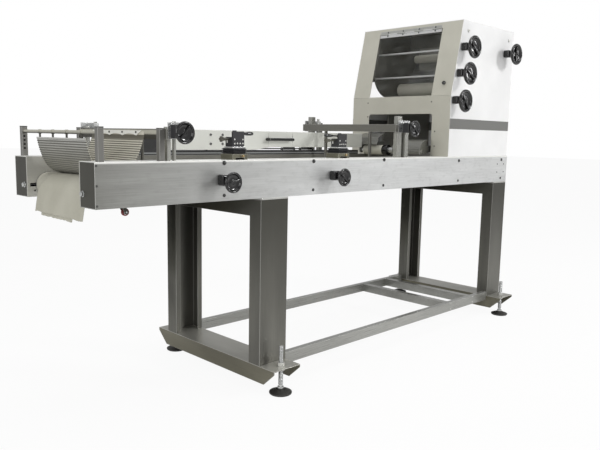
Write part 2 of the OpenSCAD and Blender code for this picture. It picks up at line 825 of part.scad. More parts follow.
module tracking_bracket() {
    fork = 3;
    color("dimgray") place() difference() {
        union() {
            span([94, 175], [tracking_y[0] - 1 - fork, tracking_y[1] + 1 + fork], [box_base - 3, box_base]);
            for (y = [tracking_y[0] - 1 - fork, tracking_y[1] + 1])
                slab_y([y, y + fork]) link([tracking_x, tracking_z], [tracking_x - 6, box_base - 8], 14);
        }
        rod_y(tracking_x, [tracking_y[0] - 10, tracking_y[1] + 10], tracking_z, tracking_pin + running);
    }
}

module tracking_wheel() {
    color("firebrick") place() {
        rod_y(tracking_x, tracking_y, tracking_z, tracking_radius);
        rod_y(tracking_x, [tracking_y[0] - 5, tracking_y[1] + 5], tracking_z, tracking_pin);
    }
}

// Bridges

module rack_column(x, top) {
    tooth = 1.2;
    pitch = 6;
    difference() {
        span(x, column_y, [box_top, top]);
        for (z = [box_top + 70:pitch:top - 4])
            span([x[1] - tooth, x[1] + 1], [column_y[0] - 1, column_y[0] + 12], [z, z + pitch / 2]);
    }
}

module bridge_columns() {
    color("silver") place() both_sides() {
        rack_column(left_rack, left_column_top);
        rod_z(left_rod[0], left_rod[1], [box_top, left_column_top + 20], guide_rod_radius);
        rack_column(right_rack, column_top);
        rod_z(right_rod[0], right_rod[1], [box_top, column_top - 10], guide_rod_radius);
        span([right_rod[0] + guide_rod_radius + 3, right_rod[0] + guide_rod_radius + 30],
            column_y, [box_top, right_axis_z + 30]);
    }
}

module bridge_crossbars() {
    color("gray") place() {
        span(left_bar_x, [0, bed_width],
            [box_top + crossbar_left_rise, box_top + crossbar_left_rise + crossbar_height]);
        span(right_bar_x, [0, bed_width],
            [box_top + crossbar_right_rise, box_top + crossbar_right_rise + crossbar_height]);
    }
}

module pressure_board() {
    hanger = 8;
    top = board_z + pressure_board_thickness;
    color("whitesmoke") place() {
        span(board_x, board_y, [board_z, top]);
        for (y = [board_y[0] + 40, board_y[1] - 40 - hanger]) {
            span(left_bar_x, [y, y + hanger], [top, box_top + crossbar_left_rise]);
            span(right_bar_x, [y, y + hanger], [top, box_top + crossbar_right_rise]);
        }
    }
}

// End plate of a crossbar with its guide shoe; the front one carries the wheel's block
module bridge_end(plate, rod, axis_x, axis_z, with_block) {
    shoe_z = [axis_z + pinion_radius + 3, plate[1][1] - 2];
    shoe_x = [rod[0] - guide_rod_radius - 6, rod[0] + guide_rod_radius + 2];
    difference() {
        union() {
            span(plate[0], [-plate_sheet, 0], plate[1]);
            span(shoe_x, [0, rod[1] + guide_rod_radius + 6], shoe_z);
            if (with_block)
                slab_y(bridge_block_y)
                    round_rect([axis_x - 21, axis_z - 21], [axis_x + 21, axis_z + 29], 5);
        }
        rod_z(rod[0], rod[1], [shoe_z[0] - 1, shoe_z[1] + 1], guide_rod_radius + running);
        rod_y(axis_x, [bridge_block_y[0] - 1, 1], axis_z, spindle_radius + running);
    }
}

module bridge_blocks() {
    color("black") place() {
        bridge_end(left_plate, left_rod, bridge_left_x, left_axis_z, true);
        bridge_end(right_plate, right_rod, bridge_right_x, right_axis_z, true);
        mirror_side() bridge_end(left_plate, left_rod, bridge_left_x, left_axis_z, false);
        mirror_side() bridge_end(right_plate, right_rod, bridge_right_x, right_axis_z, false);
    }
}

module bridge_wheel(x, z, angle) {
    color("black") place() {
        handwheel(x, bridge_wheel_y, z, wheel_small, rim_small, angle,
            bridge_block_y[0] - pass_gap, bed_width);
        both_sides() rod_y(x, [column_y[0] + 1, column_y[0] + 10], z, pinion_radius - 0.5);
    }
}

module bridge_wheel_left() { bridge_wheel(bridge_left_x, left_axis_z, -50); }
module bridge_wheel_right() { bridge_wheel(bridge_right_x, right_axis_z, 40); }

// Guide units

module guide_saddle(x) {
    color("gray") place() translate([x, 0, 0]) {
        difference() {
            span([0, saddle_width], saddle_y, [box_top, bellows_z]);
            span([16, saddle_width - 16], [saddle_y[0] - 1, saddle_y[1] + 1], [box_top - 1, box_top + 8]);
        }
        span([2, saddle_width - 8], [saddle_y[0] + 4, saddle_y[1] - 20], [plate_z, housing_z]);
        rod_y(saddle_width - 28, [saddle_y[0] - 9, saddle_y[0]], box_top + 15, 5);
    }
}

module guide_saddle_left() { guide_saddle(unit_left_x); }
module guide_saddle_right() { guide_saddle(unit_right_x); }

module guide_housing(x) {
    folds = 3;
    pitch = (bellows_height - 0.1) / folds;
    color("black") place() translate([x, 0, 0]) difference() {
        union() {
            for (i = [0:folds - 1]) {
                z = bellows_z + i * pitch;
                span([6, saddle_width - 6], [saddle_y[0] + 4, saddle_y[1] - 4], [z, z + pitch / 2]);
                span([2, saddle_width - 2], saddle_y, [z + pitch / 2, z + pitch]);
            }
            slab_y(front_block)
                round_rect([housing_x[0], housing_z], [housing_x[1], housing_z + housing_height], 5);
            slab_y(low_block)
                round_rect([housing_x[0] + 1, housing_z], [housing_x[1] - 6, housing_z + low_block_height], 2);
            span([housing_x[0] + 2, lever_x - 8], front_block, [housing_z + housing_height - 6, housing_z + housing_height + 4]);
            rod_y(lever_x, [front_block[1] - 3, lever_y], lever_z, 9);
        }
        rod_y(lever_x, [front_block[0] + 3, lever_y + 1], lever_z, 5 + running);
        rod_x([housing_x[0] - 1, housing_x[0] + 21], knob_y, knob_z, 4 + running);
    }
}

module guide_housing_left() { guide_housing(unit_left_x); }
module guide_housing_right() { guide_housing(unit_right_x); }

// A lever on a screw behind the housing's front block; direction 1 points along +X
module clamp_lever(x, direction) {
    y = [lever_y + pass_gap, lever_y + 10];
    rise = 2;
    color("black") place() translate([x + lever_x, 0, lever_z]) {
        rod_y(0, [front_block[0] + 4, lever_y + 10], 0, 5);
        rod_y(0, y, 0, 9);
        slab_y(y) link([0, 0], [direction * 46, rise], 8);
        translate([0, (y[0] + y[1]) / 2, rise]) rotate([0, direction * 90, 0]) {
            translate([0, 0, 42]) cylinder(r1 = 4.5, r2 = 7.5, h = 20);
            translate([0, 0, 62]) cylinder(r = 7.5, h = 38);
        }
    }
}

module clamp_lever_left() { clamp_lever(unit_left_x, 1); }
module clamp_lever_right() { clamp_lever(unit_right_x, -1); }

module star_knob(x, standoff) {
    lobes = 6;
    color("dimgray") place() translate([x + housing_x[0] - standoff, knob_y, knob_z]) rotate([0, 90, 0]) {
        translate([0, 0, -14]) {
            cylinder(r = 8.5, h = 14);
            for (i = [0:lobes - 1]) rotate(i * 360 / lobes) translate([8.5, 0, 0]) cylinder(r = 3.5, h = 14);
        }
        cylinder(r = 6.5, h = 18);
        cylinder(r = 4, h = standoff + 19);
    }
}

module star_knob_left() { star_knob(unit_left_x, 30); }
module star_knob_right() { star_knob(unit_right_x, 50); }

// Rear board

module rear_rail() {
    lug = 9;
    end_plate_x = [rear_board_x[0] - 140, rear_board_x[0] - 6];
    color("black") place() {
        span(end_plate_x, [rail_black_y[0], rail_black_y[0] + 3], [rail_black_top - 1, box_top + 88]);
        span([post_inner_x + 50, nose_axis[0] - nose_guard], rail_black_y, [box_top, rail_black_top]);
        for (ear = ears, x = [ear[0] - lug - pass_gap, ear[1] + pass_gap]) {
            rod_x([x, x + lug], board_pin_y, board_pin_z, ear_radius);
            span([x, x + lug], [board_pin_y - ear_radius, board_pin_y + ear_radius], [rail_black_top, board_pin_z]);
        }
        rod_x([ears[0][0] - lug, ears[2][1] + lug], board_pin_y, board_pin_z, board_pin_radius);
    }
}

module rear_board() {
    slope = [rear_board_x[0] + 535, rear_board_x[0] + 640];
    color("whitesmoke") place() slab_y(rear_board_y) polygon([
        [rear_board_x[0], rear_board_z], [slope[0], rear_board_z], [slope[1], rear_board_z + 14],
        [rear_board_x[1], rear_board_z + 14], [rear_board_x[1], box_top + rear_board_top],
        [rear_board_x[0], box_top + rear_board_top]
    ]);
}

module board_fittings() {
    handle_length = 176;
    handle_mid = (rear_board_x[0] + rear_board_x[1]) / 2 - 3;
    handle = [handle_mid - handle_length / 2, handle_mid + handle_length / 2];
    handle_z = box_top + 79;
    front = rear_board_y[0];
    color("black") place() {
        for (x = [handle[0] + 9, handle[1] - 9]) rod_y(x, [front - 26, front], handle_z, 9);
        rod_x([handle[0], handle[1]], front - 30, handle_z, 8);
        difference() {
            for (ear = ears) {
                span(ear, [rear_board_y[1], rear_board_y[1] + 4], [board_pin_z - 6, box_top + 106]);
                rod_x(ear, board_pin_y, board_pin_z, ear_radius);
            }
            rod_x([ears[0][0] - 1, ears[2][1] + 1], board_pin_y, board_pin_z, board_pin_radius + running);
        }
        for (x = [ears[0][0] + 7, ears[0][1] - 8], z = [box_top + 54, box_top + 98]) dome_y(x, front, z, 7);
    }
}

// Handwheels on the front box and the head

module side_wheel(x, angle) {
    color("black") place() handwheel(x, -wheel_standoff, side_wheel_z, wheel_small, rim_small, angle,
        -indicator_depth - pass_gap, bed_front + 10);
}

module side_wheel_left() { side_wheel(side_wheel_x[0], 20); }
module side_wheel_right() { side_wheel(side_wheel_x[1], -35); }

module position_indicators() {
    color("black") place() {
        for (x = side_wheel_x) indicator(x, 0, side_wheel_z);
        for (w = head_wheels) indicator(w[0], head_front, w[1]);
    }
}

module head_wheel(index, angle, end) {
    at = head_wheels[index];
    color("black") place() handwheel(at[0], head_front - wheel_standoff, at[1], wheel_large, rim_large, angle,
        head_front - indicator_depth - pass_gap, end);
}

module head_wheel_1() { head_wheel(0, -40, plate_rear[1]); }
module head_wheel_2() { head_wheel(1, 15, plate_rear[1]); }
module head_wheel_3() { head_wheel(2, 75, plate_front[1] + 10); }
module head_wheel_4() { head_wheel(3, -10, plate_front[1] + 10); }

// Head

module plate_outline() {
    throat = 150;
    throat_rise = 118;
    chin = 64;
    polygon([
        [head_x + throat, box_top], [head_x + throat, box_top + throat_rise],
        [head_x + setback, knee_z - chin], [head_x + setback, knee_z],
        [face_x(plate_top) + setback, plate_top], [plate_end, plate_top], [plate_end, box_top]
    ]);
}

// The rear plate leaves the lower corner of the window open, round a large radius
module rear_plate_outline() {
    throat = 150;
    throat_rise = 118;
    corner = 158;
    lug = 14;
    centre = [head_x + 200, knee_z + 166];
    polygon([
        [head_x + throat, box_top], [head_x + throat, box_top + throat_rise],
        [centre[0], box_top + throat_rise + 60], centre,
        [face_x(centre[1]) + setback, centre[1]],
        [face_x(plate_top) + setback, plate_top], [plate_end, plate_top], [plate_end, box_top]
    ]);
    intersection() {
        translate(centre) circle(corner);
        polygon([
            [face_x(knee_z) + setback, knee_z], [face_x(centre[1] + 1) + setback, centre[1] + 1],
            [centre[0] + 1, centre[1] + 1], [centre[0] + 1, knee_z]
        ]);
    }
    translate(head_wheels[1]) circle(lug);
}

module head_plates() {
    foot = 4;
    color("slategray") place() {
        difference() {
            union() {
                slab_y(plate_front) plate_outline();
                slab_y(plate_rear) rear_plate_outline();
            }
            for (w = head_wheels)
                rod_y(w[0], [plate_front[0] - 1, plate_front[1] + 1], w[1], spindle_radius + running);
            for (i = [0, 1])
                rod_y(head_wheels[i][0], [plate_rear[0] - 1, plate_rear[1] + 1], head_wheels[i][1],
                    spindle_radius + running);
            rod_y(nose_pivot[0], [plate_front[0] - 1, plate_rear[1] + 1], nose_pivot[1], 8 + running);
        }
        slab_y([plate_front[1], plate_rear[0]]) bent_sheet(chute, chute_sheet);
        span(hopper_apron_x, [plate_front[1], plate_rear[0]],
            [plate_top - 78, head_top - cover_sheet - pass_gap]);
        span([head_x + 160, plate_end], [60, plate_front[0]], [box_top, box_top + foot]);
    }
}

module cover_outline() {
    polygon([
        [head_x, box_top], [head_x, knee_z], [head_x + face_run, head_top],
        [bed_length, head_top], [bed_length, box_top]
    ]);
}

module side_covers() {
    opening = [[head_x + 140, knee_z - 4], [head_x + 360, knee_z - 4],
        [head_x + 360, knee_z + 116], [head_x + 175, knee_z + 116]];
    color("white") place() {
        difference() {
            slab_y([head_front, head_front + cover_sheet]) cover_outline();
            for (w = head_wheels)
                rod_y(w[0], [head_front - 1, head_front + cover_sheet + 1], w[1], spindle_radius + loose);
        }
        slab_y([head_rear - cover_sheet, head_rear]) difference() {
            cover_outline();
            polygon(opening);
        }
    }
}

module top_cover() {
    y = [head_front + cover_sheet, head_rear - cover_sheet];
    color("white") place() {
        difference() {
            span([head_x + face_run, bed_length], y, [head_top - cover_sheet, head_top]);
            span(hopper_x, hopper_y, [head_top - cover_sheet - 1, head_top + 1]);
        }
        span([bed_length - cover_sheet, bed_length], y, [box_top, head_top - cover_sheet]);
    }
}

// Puts what is drawn upright from the knee onto the leaning face; local X points inward
module on_face() {
    translate([head_x, 0, knee_z]) rotate([0, lean, 0]) children();
}

module face_frame() {
    y = [head_front + cover_sheet, head_rear - cover_sheet];
    corner = 15;
    upper = face_length - cover_sheet;
    seam = 0.3;
    dip = cover_sheet * sin(lean);
    color("darkkhaki") place() {
        difference() {
            span([head_x, head_x + cover_sheet], y, [box_top, knee_z - dip]);
            slab_x([head_x - 1, head_x + cover_sheet + 1]) {
                translate([exit_y[0], box_top - 1]) square([exit_y[1] - exit_y[0], exit_top - box_top - corner + 1]);
                translate([exit_y[0] + corner, exit_top - corner - 1])
                    square([exit_y[1] - exit_y[0] - 2 * corner, corner + 1]);
                for (at = [exit_y[0] + corner, exit_y[1] - corner]) translate([at, exit_top - corner]) circle(corner);
            }
        }
        on_face() difference() {
            span([0, cover_sheet], y, [seam, upper]);
            span([-1, cover_sheet + 1], window_y, [3, window_top]);
            translate([0, lock_at[0], lock_at[1]]) rotate([0, 90, 0])
                cylinder(r = 6 + running, h = 20, center = true);
        }
        on_face() {
            hinge_leaf(0, 1);
            rod_y(hinge_x, hinge_y, window_top, hinge_pin);
        }
    }
}

// One leaf of the guard's hinge with every second knuckle; side 1 lies above the pin
module hinge_leaf(first, side) {
    difference() {
        union() {
            translate([0, 0, window_top]) scale([1, 1, side])
                span([-leaf_sheet, 0], hinge_y, [hinge_radius + 0.5, leaf_width]);
            for (i = [first:2:knuckles - 1]) {
                y = [hinge_y[0] + i * knuckle_length + 0.15, hinge_y[0] + (i + 1) * knuckle_length - 0.15];
                rod_y(hinge_x, y, window_top, hinge_radius);
                translate([0, 0, window_top]) scale([1, 1, side]) span([-leaf_sheet, 0], y, [0, leaf_width]);
            }
        }
        rod_y(hinge_x, [hinge_y[0] - 1, hinge_y[1] + 1], window_top, hinge_pin + running);
    }
    for (i = [0:hinge_screws - 1])
        dome_x(-leaf_sheet, hinge_y[0] + (i + 0.5) * hinge_pitch, window_top + side * 12, 4);
}

module guard_door() {
    y = [window_y[0] + 1, window_y[1] - 1];
    color("lightblue", 0.4) place() on_face() {
        span([0, guard_sheet], y, [4, window_top - 1]);
        hinge_leaf(1, -1);
    }
}

module guard_lock() {
    color("black") place() on_face() translate([0, lock_at[0], lock_at[1]]) rotate([0, 90, 0]) {
        translate([0, 0, -8]) cylinder(r = 11, h = 8 - pass_gap);
        translate([-2.5, -9, -13]) cube([5, 18, 6]);
        translate([0, 0, -1]) cylinder(r = 6, h = cover_sheet + 5);
        translate([-8, -8, cover_sheet + pass_gap]) cube([32, 16, 3]);
    }
}

// Feed rollers

module slide_blocks(axis, half) {
    for (y = [[window_y[0] + pass_gap, window_y[0] + 11], [window_y[1] - 11, window_y[1] - pass_gap]])
        difference() {
            span([axis[0] - half, axis[0] + half], y, [axis[1] - half, axis[1] + half]);
            rod_y(axis[0], [y[0] - 1, y[1] + 1], axis[1], 8 + running);
        }
}

module upper_slide() {
    color("dimgray") place() slide_blocks(upper_axis, 15);
}

module lower_slide() {
    color("dimgray") place() slide_blocks(lower_axis, 22);
}

module feed_roller(axis, radius) {
    rod_y(axis[0], [window_y[0] + 12, window_y[1] - 12], axis[1], radius);
    rod_y(axis[0], [window_y[0] + 1, window_y[1] - 1], axis[1], 8);
}

module upper_roller() {
    color("tan") place() feed_roller(upper_axis, upper_radius);
}

module lower_roller() {
    color("tan") place() feed_roller(lower_axis, lower_radius);
}

// Nose unit in front of the head

module nose_arms() {
    arms = [[window_y[0] + 2, window_y[0] + 10], [window_y[1] - 10, window_y[1] - 2]];
    tip = nose_axis;
    sheet = 2;
    guard_turn = 7.5;
    guard_back = 55;
    function guard_arc(first, r) = concat(
        [for (a = [first:-guard_turn:90]) tip + r * [cos(a), sin(a)]], [tip + [guard_back, r]]);
    hood = [tip + [-44, 31], tip + [-30, 72], tip + [20, 96], tip + [66, 96]];
    color("silver") place() {
        difference() {
            union() {
                for (y = arms) slab_y(y) link(nose_pivot, tip, 36);
                slab_y([inner_front + 1, arms[0][0] + 160])
                    bent_sheet(guard_arc(195, nose_guard - sheet), sheet);
                slab_y(arms[0])
                    polygon(concat(guard_arc(187.5, nose_guard - sheet / 2), [tip + [guard_back - 15, -9]]));
                slab_y([arms[1][0] - 152, arms[1][0] + 2]) bent_sheet(hood, sheet);
                slab_y(arms[1]) polygon(concat(hood, [tip + [66, 0], tip]));
            }
            rod_y(tip[0], [arms[0][0] - 1, arms[1][1] + 1], tip[1], 8 + running);
        }
        rod_y(nose_pivot[0], [plate_front[0], arms[0][1]], nose_pivot[1], 8);
        rod_y(nose_pivot[0], [arms[1][0], plate_rear[1]], nose_pivot[1], 8);
    }
}

module nose_roller() {
    arms = [window_y[0] + 10, window_y[1] - 10];
    sleeve = [arms[0] + 0.6 * (arms[1] - arms[0]), arms[1] - 31];
    collar = sleeve[0] - 35;
    boss = collar - 45;
    color("tan") place() {
        rod_y(nose_axis[0], sleeve, nose_axis[1], nose_radius);
        rod_y(nose_axis[0], [collar, sleeve[0]], nose_axis[1], nose_radius + 2);
        rod_y(nose_axis[0], [boss, collar], nose_axis[1], 18);
        rod_y(nose_axis[0], [arms[0] + 1, arms[1] - 1], nose_axis[1], 11);
        rod_y(nose_axis[0], [arms[0] - 8, arms[1] + 8], nose_axis[1], 8);
    }
}

foot_beams();
portal_left();
portal_right();
stand_rails();
stand_fasteners();
levelling_foot_1();
levelling_foot_2();
levelling_foot_3();
levelling_foot_4();
side_panels();
conveyor_frame();
end_caps();
panel_screws();
belt();
end_roller();
drive_drum();
cloth_apron();
ribbed_mat();
discharge_posts();
post_caps();
hanger_bars();
scalloped_strip();
tracking_bracket();
tracking_wheel();
bridge_columns();
bridge_crossbars();
pressure_board();
bridge_blocks();
bridge_wheel_left();
bridge_wheel_right();
guide_saddle_left();
guide_saddle_right();
guide_housing_left();
guide_housing_right();
clamp_lever_left();
clamp_lever_right();
star_knob_left();
star_knob_right();
rear_rail();
rear_board();
board_fittings();
side_wheel_left();
side_wheel_right();
position_indicators();
head_plates();
side_covers();
top_cover();
face_frame();
guard_door();
guard_lock();
head_wheel_1();
head_wheel_2();
head_wheel_3();
head_wheel_4();
upper_slide();
upper_roller();
lower_slide();
lower_roller();
nose_arms();
nose_roller();
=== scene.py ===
# %% [markdown]
# # A baguette moulder, dressed for its portrait
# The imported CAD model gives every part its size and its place. This script keeps both
# and adds what a drawing leaves out: rounded edges, brushed steel, felt, gloss paint,
# threads and screws. Each step says what the part is on the real machine, how it could
# be made, and why this way was chosen.

# %% The frame
import json
import math
import random

import bmesh
import bpy
from mathutils import Matrix, Vector


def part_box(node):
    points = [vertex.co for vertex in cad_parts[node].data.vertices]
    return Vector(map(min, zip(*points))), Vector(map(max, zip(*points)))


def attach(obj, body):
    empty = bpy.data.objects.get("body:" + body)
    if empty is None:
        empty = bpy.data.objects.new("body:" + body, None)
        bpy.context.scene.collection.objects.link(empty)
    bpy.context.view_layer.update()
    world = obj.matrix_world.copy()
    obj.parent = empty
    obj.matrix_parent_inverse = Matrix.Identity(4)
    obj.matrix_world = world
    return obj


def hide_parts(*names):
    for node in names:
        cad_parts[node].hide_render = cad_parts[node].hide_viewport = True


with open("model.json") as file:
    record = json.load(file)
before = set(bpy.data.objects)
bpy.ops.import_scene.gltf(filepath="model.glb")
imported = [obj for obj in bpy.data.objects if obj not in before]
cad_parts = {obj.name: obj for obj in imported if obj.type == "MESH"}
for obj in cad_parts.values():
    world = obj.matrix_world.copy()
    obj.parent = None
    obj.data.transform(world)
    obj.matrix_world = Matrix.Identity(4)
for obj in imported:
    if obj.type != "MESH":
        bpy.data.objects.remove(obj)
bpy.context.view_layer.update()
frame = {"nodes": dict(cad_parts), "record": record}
body_of = {n: b for b, nodes in frame["record"]["behaviour"]["bodies"].items() for n in nodes}

# %% [markdown]
# ## Sums with sockets
# A shader that mixes three patterns needs a dozen Math nodes, and their wiring hides what
# is meant. The small class below wraps one socket and answers to +, -, * and /, so that a
# mask can be written as 1 - grain * 0.3. The same class serves the geometry trees.

# %% Wires and trees
class Wire:
    """One output socket, written in sums like a number."""

    def __init__(self, tree, socket):
        self.tree, self.socket = tree, socket

    def maths(self, operation, *terms):
        return self.tree.node("ShaderNodeMath", {"operation": operation}, dict(enumerate(terms)))

    def __add__(self, other): return self.maths("ADD", self, other)
    def __radd__(self, other): return self.maths("ADD", other, self)
    def __sub__(self, other): return self.maths("SUBTRACT", self, other)
    def __rsub__(self, other): return self.maths("SUBTRACT", other, self)
    def __mul__(self, other): return self.maths("MULTIPLY", self, other)
    def __rmul__(self, other): return self.maths("MULTIPLY", other, self)
    def __truediv__(self, other): return self.maths("DIVIDE", self, other)
    def __rtruediv__(self, other): return self.maths("DIVIDE", other, self)
    def __gt__(self, other): return self.maths("GREATER_THAN", self, other)
    def __lt__(self, other): return self.maths("LESS_THAN", self, other)


class Tree:
    """A node tree that is grown with one method."""

    def __init__(self, tree):
        self.tree = tree
        tree.nodes.clear()

    def node(self, kind, settings=None, sockets=None, out=0):
        made = self.tree.nodes.new(kind)
        for key, value in (settings or {}).items():
            if key == "stops":
                ramp = made.color_ramp.elements
                while len(ramp) < len(value):
                    ramp.new(0.5)
                for element, (at, colour) in zip(ramp, value):
                    element.position, element.color = at, colour
            else:
                setattr(made, key, value)
        for key, value in (sockets or {}).items():
            if isinstance(value, Wire):
                self.tree.links.new(value.socket, made.inputs[key])
            else:
                made.inputs[key].default_value = value
        return Wire(self, made.outputs[out]) if made.outputs else made

    def mix(self, mask, first, second):
        """Colour first where the mask is 0, and second where it is 1."""
        return self.node("ShaderNodeMix", {"data_type": "RGBA"}, {0: mask, 6: first, 7: second}, out=2)


def tone(red, green, blue):
    """A colour as read on a screen, 0 to 255, as the linear light that a shader reckons with."""
    linear = [((c / 255 + 0.055) / 1.055) ** 2.4 if c > 10 else c / 3295 for c in (red, green, blue)]
    return (*linear, 1)


print("helpers ready; a middle grey is", round(tone(128, 128, 128)[0], 3))

# %% [markdown]
# ## Finishes
# Almost everything here is metal that was brushed, turned or painted. A finish starts from
# Object coordinates, in metres, so that a grain of half a millimetre is written as such and
# runs on across neighbouring parts. One class holds the parts that finishes share.

# %% The start of every finish
class Finish(Tree):
    def __init__(self, name):
        self.material = bpy.data.materials.new(name)
        self.material.use_nodes = True
        super().__init__(self.material.node_tree)
        self.place = self.node("ShaderNodeTexCoord", out=3)
        # The rounds of a dressed piece; the finishes paint a highlight on them.
        self.edge = self.node("ShaderNodeAttribute", {"attribute_name": "edge"}, out=2)

    def noise(self, per_metre, detail=2.0):
        """Noise from 0 to 1; per_metre is how fine it is along X, Y and Z."""
        at = self.node("ShaderNodeMapping", None, {0: self.place, 3: per_metre})
        return self.node("ShaderNodeTexNoise", None, {0: at, "Scale": 1.0, "Detail": detail})

    def bumps(self, height, strength, distance):
        sockets = {"Strength": strength, "Distance": distance, "Height": height}
        return self.node("ShaderNodeBump", None, sockets)

    def surface(self, **sockets):
        named = {key.replace("_", " ").title().replace("Ior", "IOR"): value for key, value in sockets.items()}
        shader = self.node("ShaderNodeBsdfPrincipled", None, named)
        self.node("ShaderNodeOutputMaterial", None, {0: shader})
        return self.material


def limits(wire, low, high):
    """Stretches the middle of a noise so that low becomes 0 and high becomes 1."""
    return wire.tree.node("ShaderNodeMapRange", None, {0: wire, 1: low, 2: high})


# %% [markdown]
# ### Brushed sheet
# A belt grinder leaves scratches that run one way, a few tenths of a millimetre apart, and
# broad soft bands where the sheet was handled. The scratches could be an image, but noise
# that is stretched a hundredfold along the brushing direction has no seams. The bevels carry
# an attribute on which the finish paints a highlight, and the shade argument blends the
# colour towards a darker one along one axis, as painted shade.

# %% Brushed metals
def brushed(name, dark, light, along, metallic=0.6, roughness=0.36, grain=0.35, shade=None):
    finish = Finish(name)
    scratch = [900.0, 900.0, 900.0]
    scratch[along] = 6.0
    bands = [7.0, 7.0, 7.0]
    bands[along] = 1.6
    fine = limits(finish.noise(scratch, 3.0), 0.3, 0.7)
    broad = limits(finish.noise(bands, 3.0), 0.3, 0.7)
    colour = finish.mix(fine * grain + broad * (1 - grain), dark, light)
    # Painted shade: the colour blends towards deep along one axis, between low and high.
    if shade:
        axis, low, high, deep = shade
        where = finish.node("ShaderNodeSeparateXYZ", None, {0: finish.place}, out=axis)
        colour = finish.mix(limits(where, low, high), colour, deep)
    # Painted highlight: the rounded edges are lightened towards white.
    colour = finish.mix(finish.edge * 0.3, colour, tone(240, 240, 236))
    return finish.surface(base_color=colour, metallic=metallic, roughness=fine * 0.1 + (roughness - 0.05),
                          normal=finish.bumps(fine, 0.06, 0.0003))


# Painted reflection: the legs' steel darkens towards the top, between 0.2 m and 0.8 m, as if the upper part
# mirrored a darker room.
leg_steel = brushed("leg steel", tone(88, 87, 82), tone(128, 127, 120), 2, metallic=0.5, roughness=0.36,
                    shade=(2, 0.2, 0.8, tone(70, 69, 63)))
beam_steel = brushed("beam steel", tone(100, 97, 84), tone(128, 125, 110), 1, metallic=0.5, roughness=0.34)
# Painted light: a lighter copy of the beam steel for the foot beams' top faces, which face the light.
lit_beam_top = brushed("beam top", tone(150, 149, 142), tone(186, 185, 178), 1, metallic=0.5, roughness=0.34)
rail_steel = brushed("rail steel", tone(140, 140, 136), tone(182, 182, 178), 0, roughness=0.3)
plate_steel = brushed("plate steel", tone(190, 190, 186), tone(222, 222, 218), 0, roughness=0.3)
post_steel = brushed("post steel", tone(110, 109, 106), tone(134, 133, 129), 2, metallic=0.5)
bar_steel = brushed("bar steel", tone(104, 103, 97), tone(130, 129, 122), 1, metallic=0.5)
bright_steel = brushed("bright steel", tone(176, 177, 176), tone(224, 225, 225), 1,
                       metallic=0.85, roughness=0.24)
column_steel = brushed("column steel", tone(146, 146, 140), tone(188, 188, 182), 2,
                       metallic=0.7, roughness=0.24)
inner_steel = brushed("inner steel", tone(104, 103, 97), tone(134, 133, 126), 0, metallic=0.4, roughness=0.45)
# Painted shade: the conveyor frame's steel darkens towards the head between x = -1.34 m and -1.15 m.
frame_steel = brushed("frame steel", tone(176, 175, 168), tone(206, 205, 198), 0, metallic=0.4, roughness=0.4,
                      shade=(0, -1.34, -1.15, tone(112, 111, 104)))
cap_steel = brushed("cap steel", tone(54, 53, 47), tone(74, 73, 66), 2, metallic=0.4, roughness=0.45)
shaft_steel = brushed("shaft steel", tone(190, 191, 190), tone(236, 237, 236), 1, metallic=0.6, roughness=0.3)
leaf_steel = brushed("leaf steel", tone(150, 151, 146), tone(196, 197, 193), 1, metallic=0.5, roughness=0.3)
rod_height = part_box("side_panels")[1].z + 0.098
# Painted shade: the hanger tubes turn dark on their underside, below rod_height.
tube_steel = brushed("tube steel", tone(176, 174, 160), tone(204, 202, 189), 1, metallic=0.4, roughness=0.3,
                     shade=(2, rod_height + 0.001, rod_height - 0.005, tone(58, 56, 48)))
hanger_steel = brushed("hanger steel", tone(66, 64, 58), tone(92, 90, 82), 2, metallic=0.4, roughness=0.4)
end_steel = brushed("end plate steel", tone(150, 150, 146), tone(190, 190, 186), 2,
                    metallic=0.5, roughness=0.32)
hood_steel = brushed("hood steel", tone(116, 116, 111), tone(160, 160, 155), 1, metallic=0.6, roughness=0.3)
print("brushed metals ready")

# %% [markdown]
# The side boxes are the largest brushed sheets. Their colour follows the machine's length:
# olive and darker at the discharge end and almost white at the head, which is painted shade
# and light. The rounded fold along the top and the rounded edges get a painted highlight.

# %% Side box steel
def box_steel():
    finish = Finish("box steel")
    low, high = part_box("side_panels")
    length = high.x - low.x
    along = (finish.node("ShaderNodeSeparateXYZ", None, {0: finish.place}) - low.x) / length
    height = finish.node("ShaderNodeSeparateXYZ", None, {0: finish.place}, out=2)
    fine = limits(finish.noise((5.0, 700.0, 700.0), 3.0), 0.3, 0.7)
    broad = limits(finish.noise((1.8, 9.0, 14.0), 4.0), 0.3, 0.7)
    worn = limits(finish.noise((30.0, 60.0, 60.0), 5.0), 0.52, 0.75)
    # Painted shade (dull) at the discharge end and painted light (bright) at the head; the mix along the
    # length blends them.
    dull = finish.mix(broad * 0.55 + fine * 0.45, tone(124, 124, 119), tone(158, 158, 154))
    bright = finish.mix(broad * 0.5 + fine * 0.5, tone(194, 195, 194), tone(232, 233, 233))
    colour = finish.mix(limits(along, 0.0, 0.38), dull, bright)
    colour = finish.mix(worn * 0.14, colour, tone(106, 106, 100))
    # Painted highlight on the rounded edges.
    colour = finish.mix(finish.edge * 0.35, colour, tone(246, 246, 243))
    # Painted highlight along the top fold of the box.
    colour = finish.mix(limits(height, high.z - 0.008, high.z - 0.004), colour, tone(246, 246, 242))
    return finish.surface(base_color=colour, metallic=0.5, roughness=fine * 0.1 + 0.3,
                          normal=finish.bumps(fine, 0.05, 0.0003))


side_steel = box_steel()
print("box steel ready")

# %% [markdown]
# ### Paint and plastic
# The head is painted sheet: gloss white covers with a grey band, and a grey-beige face with
# a fine texture. Handwheels and housings are moulded in black, one glossy, one matt. Each
# gets a slight unevenness, the orange peel of paint or the grain of a mould.

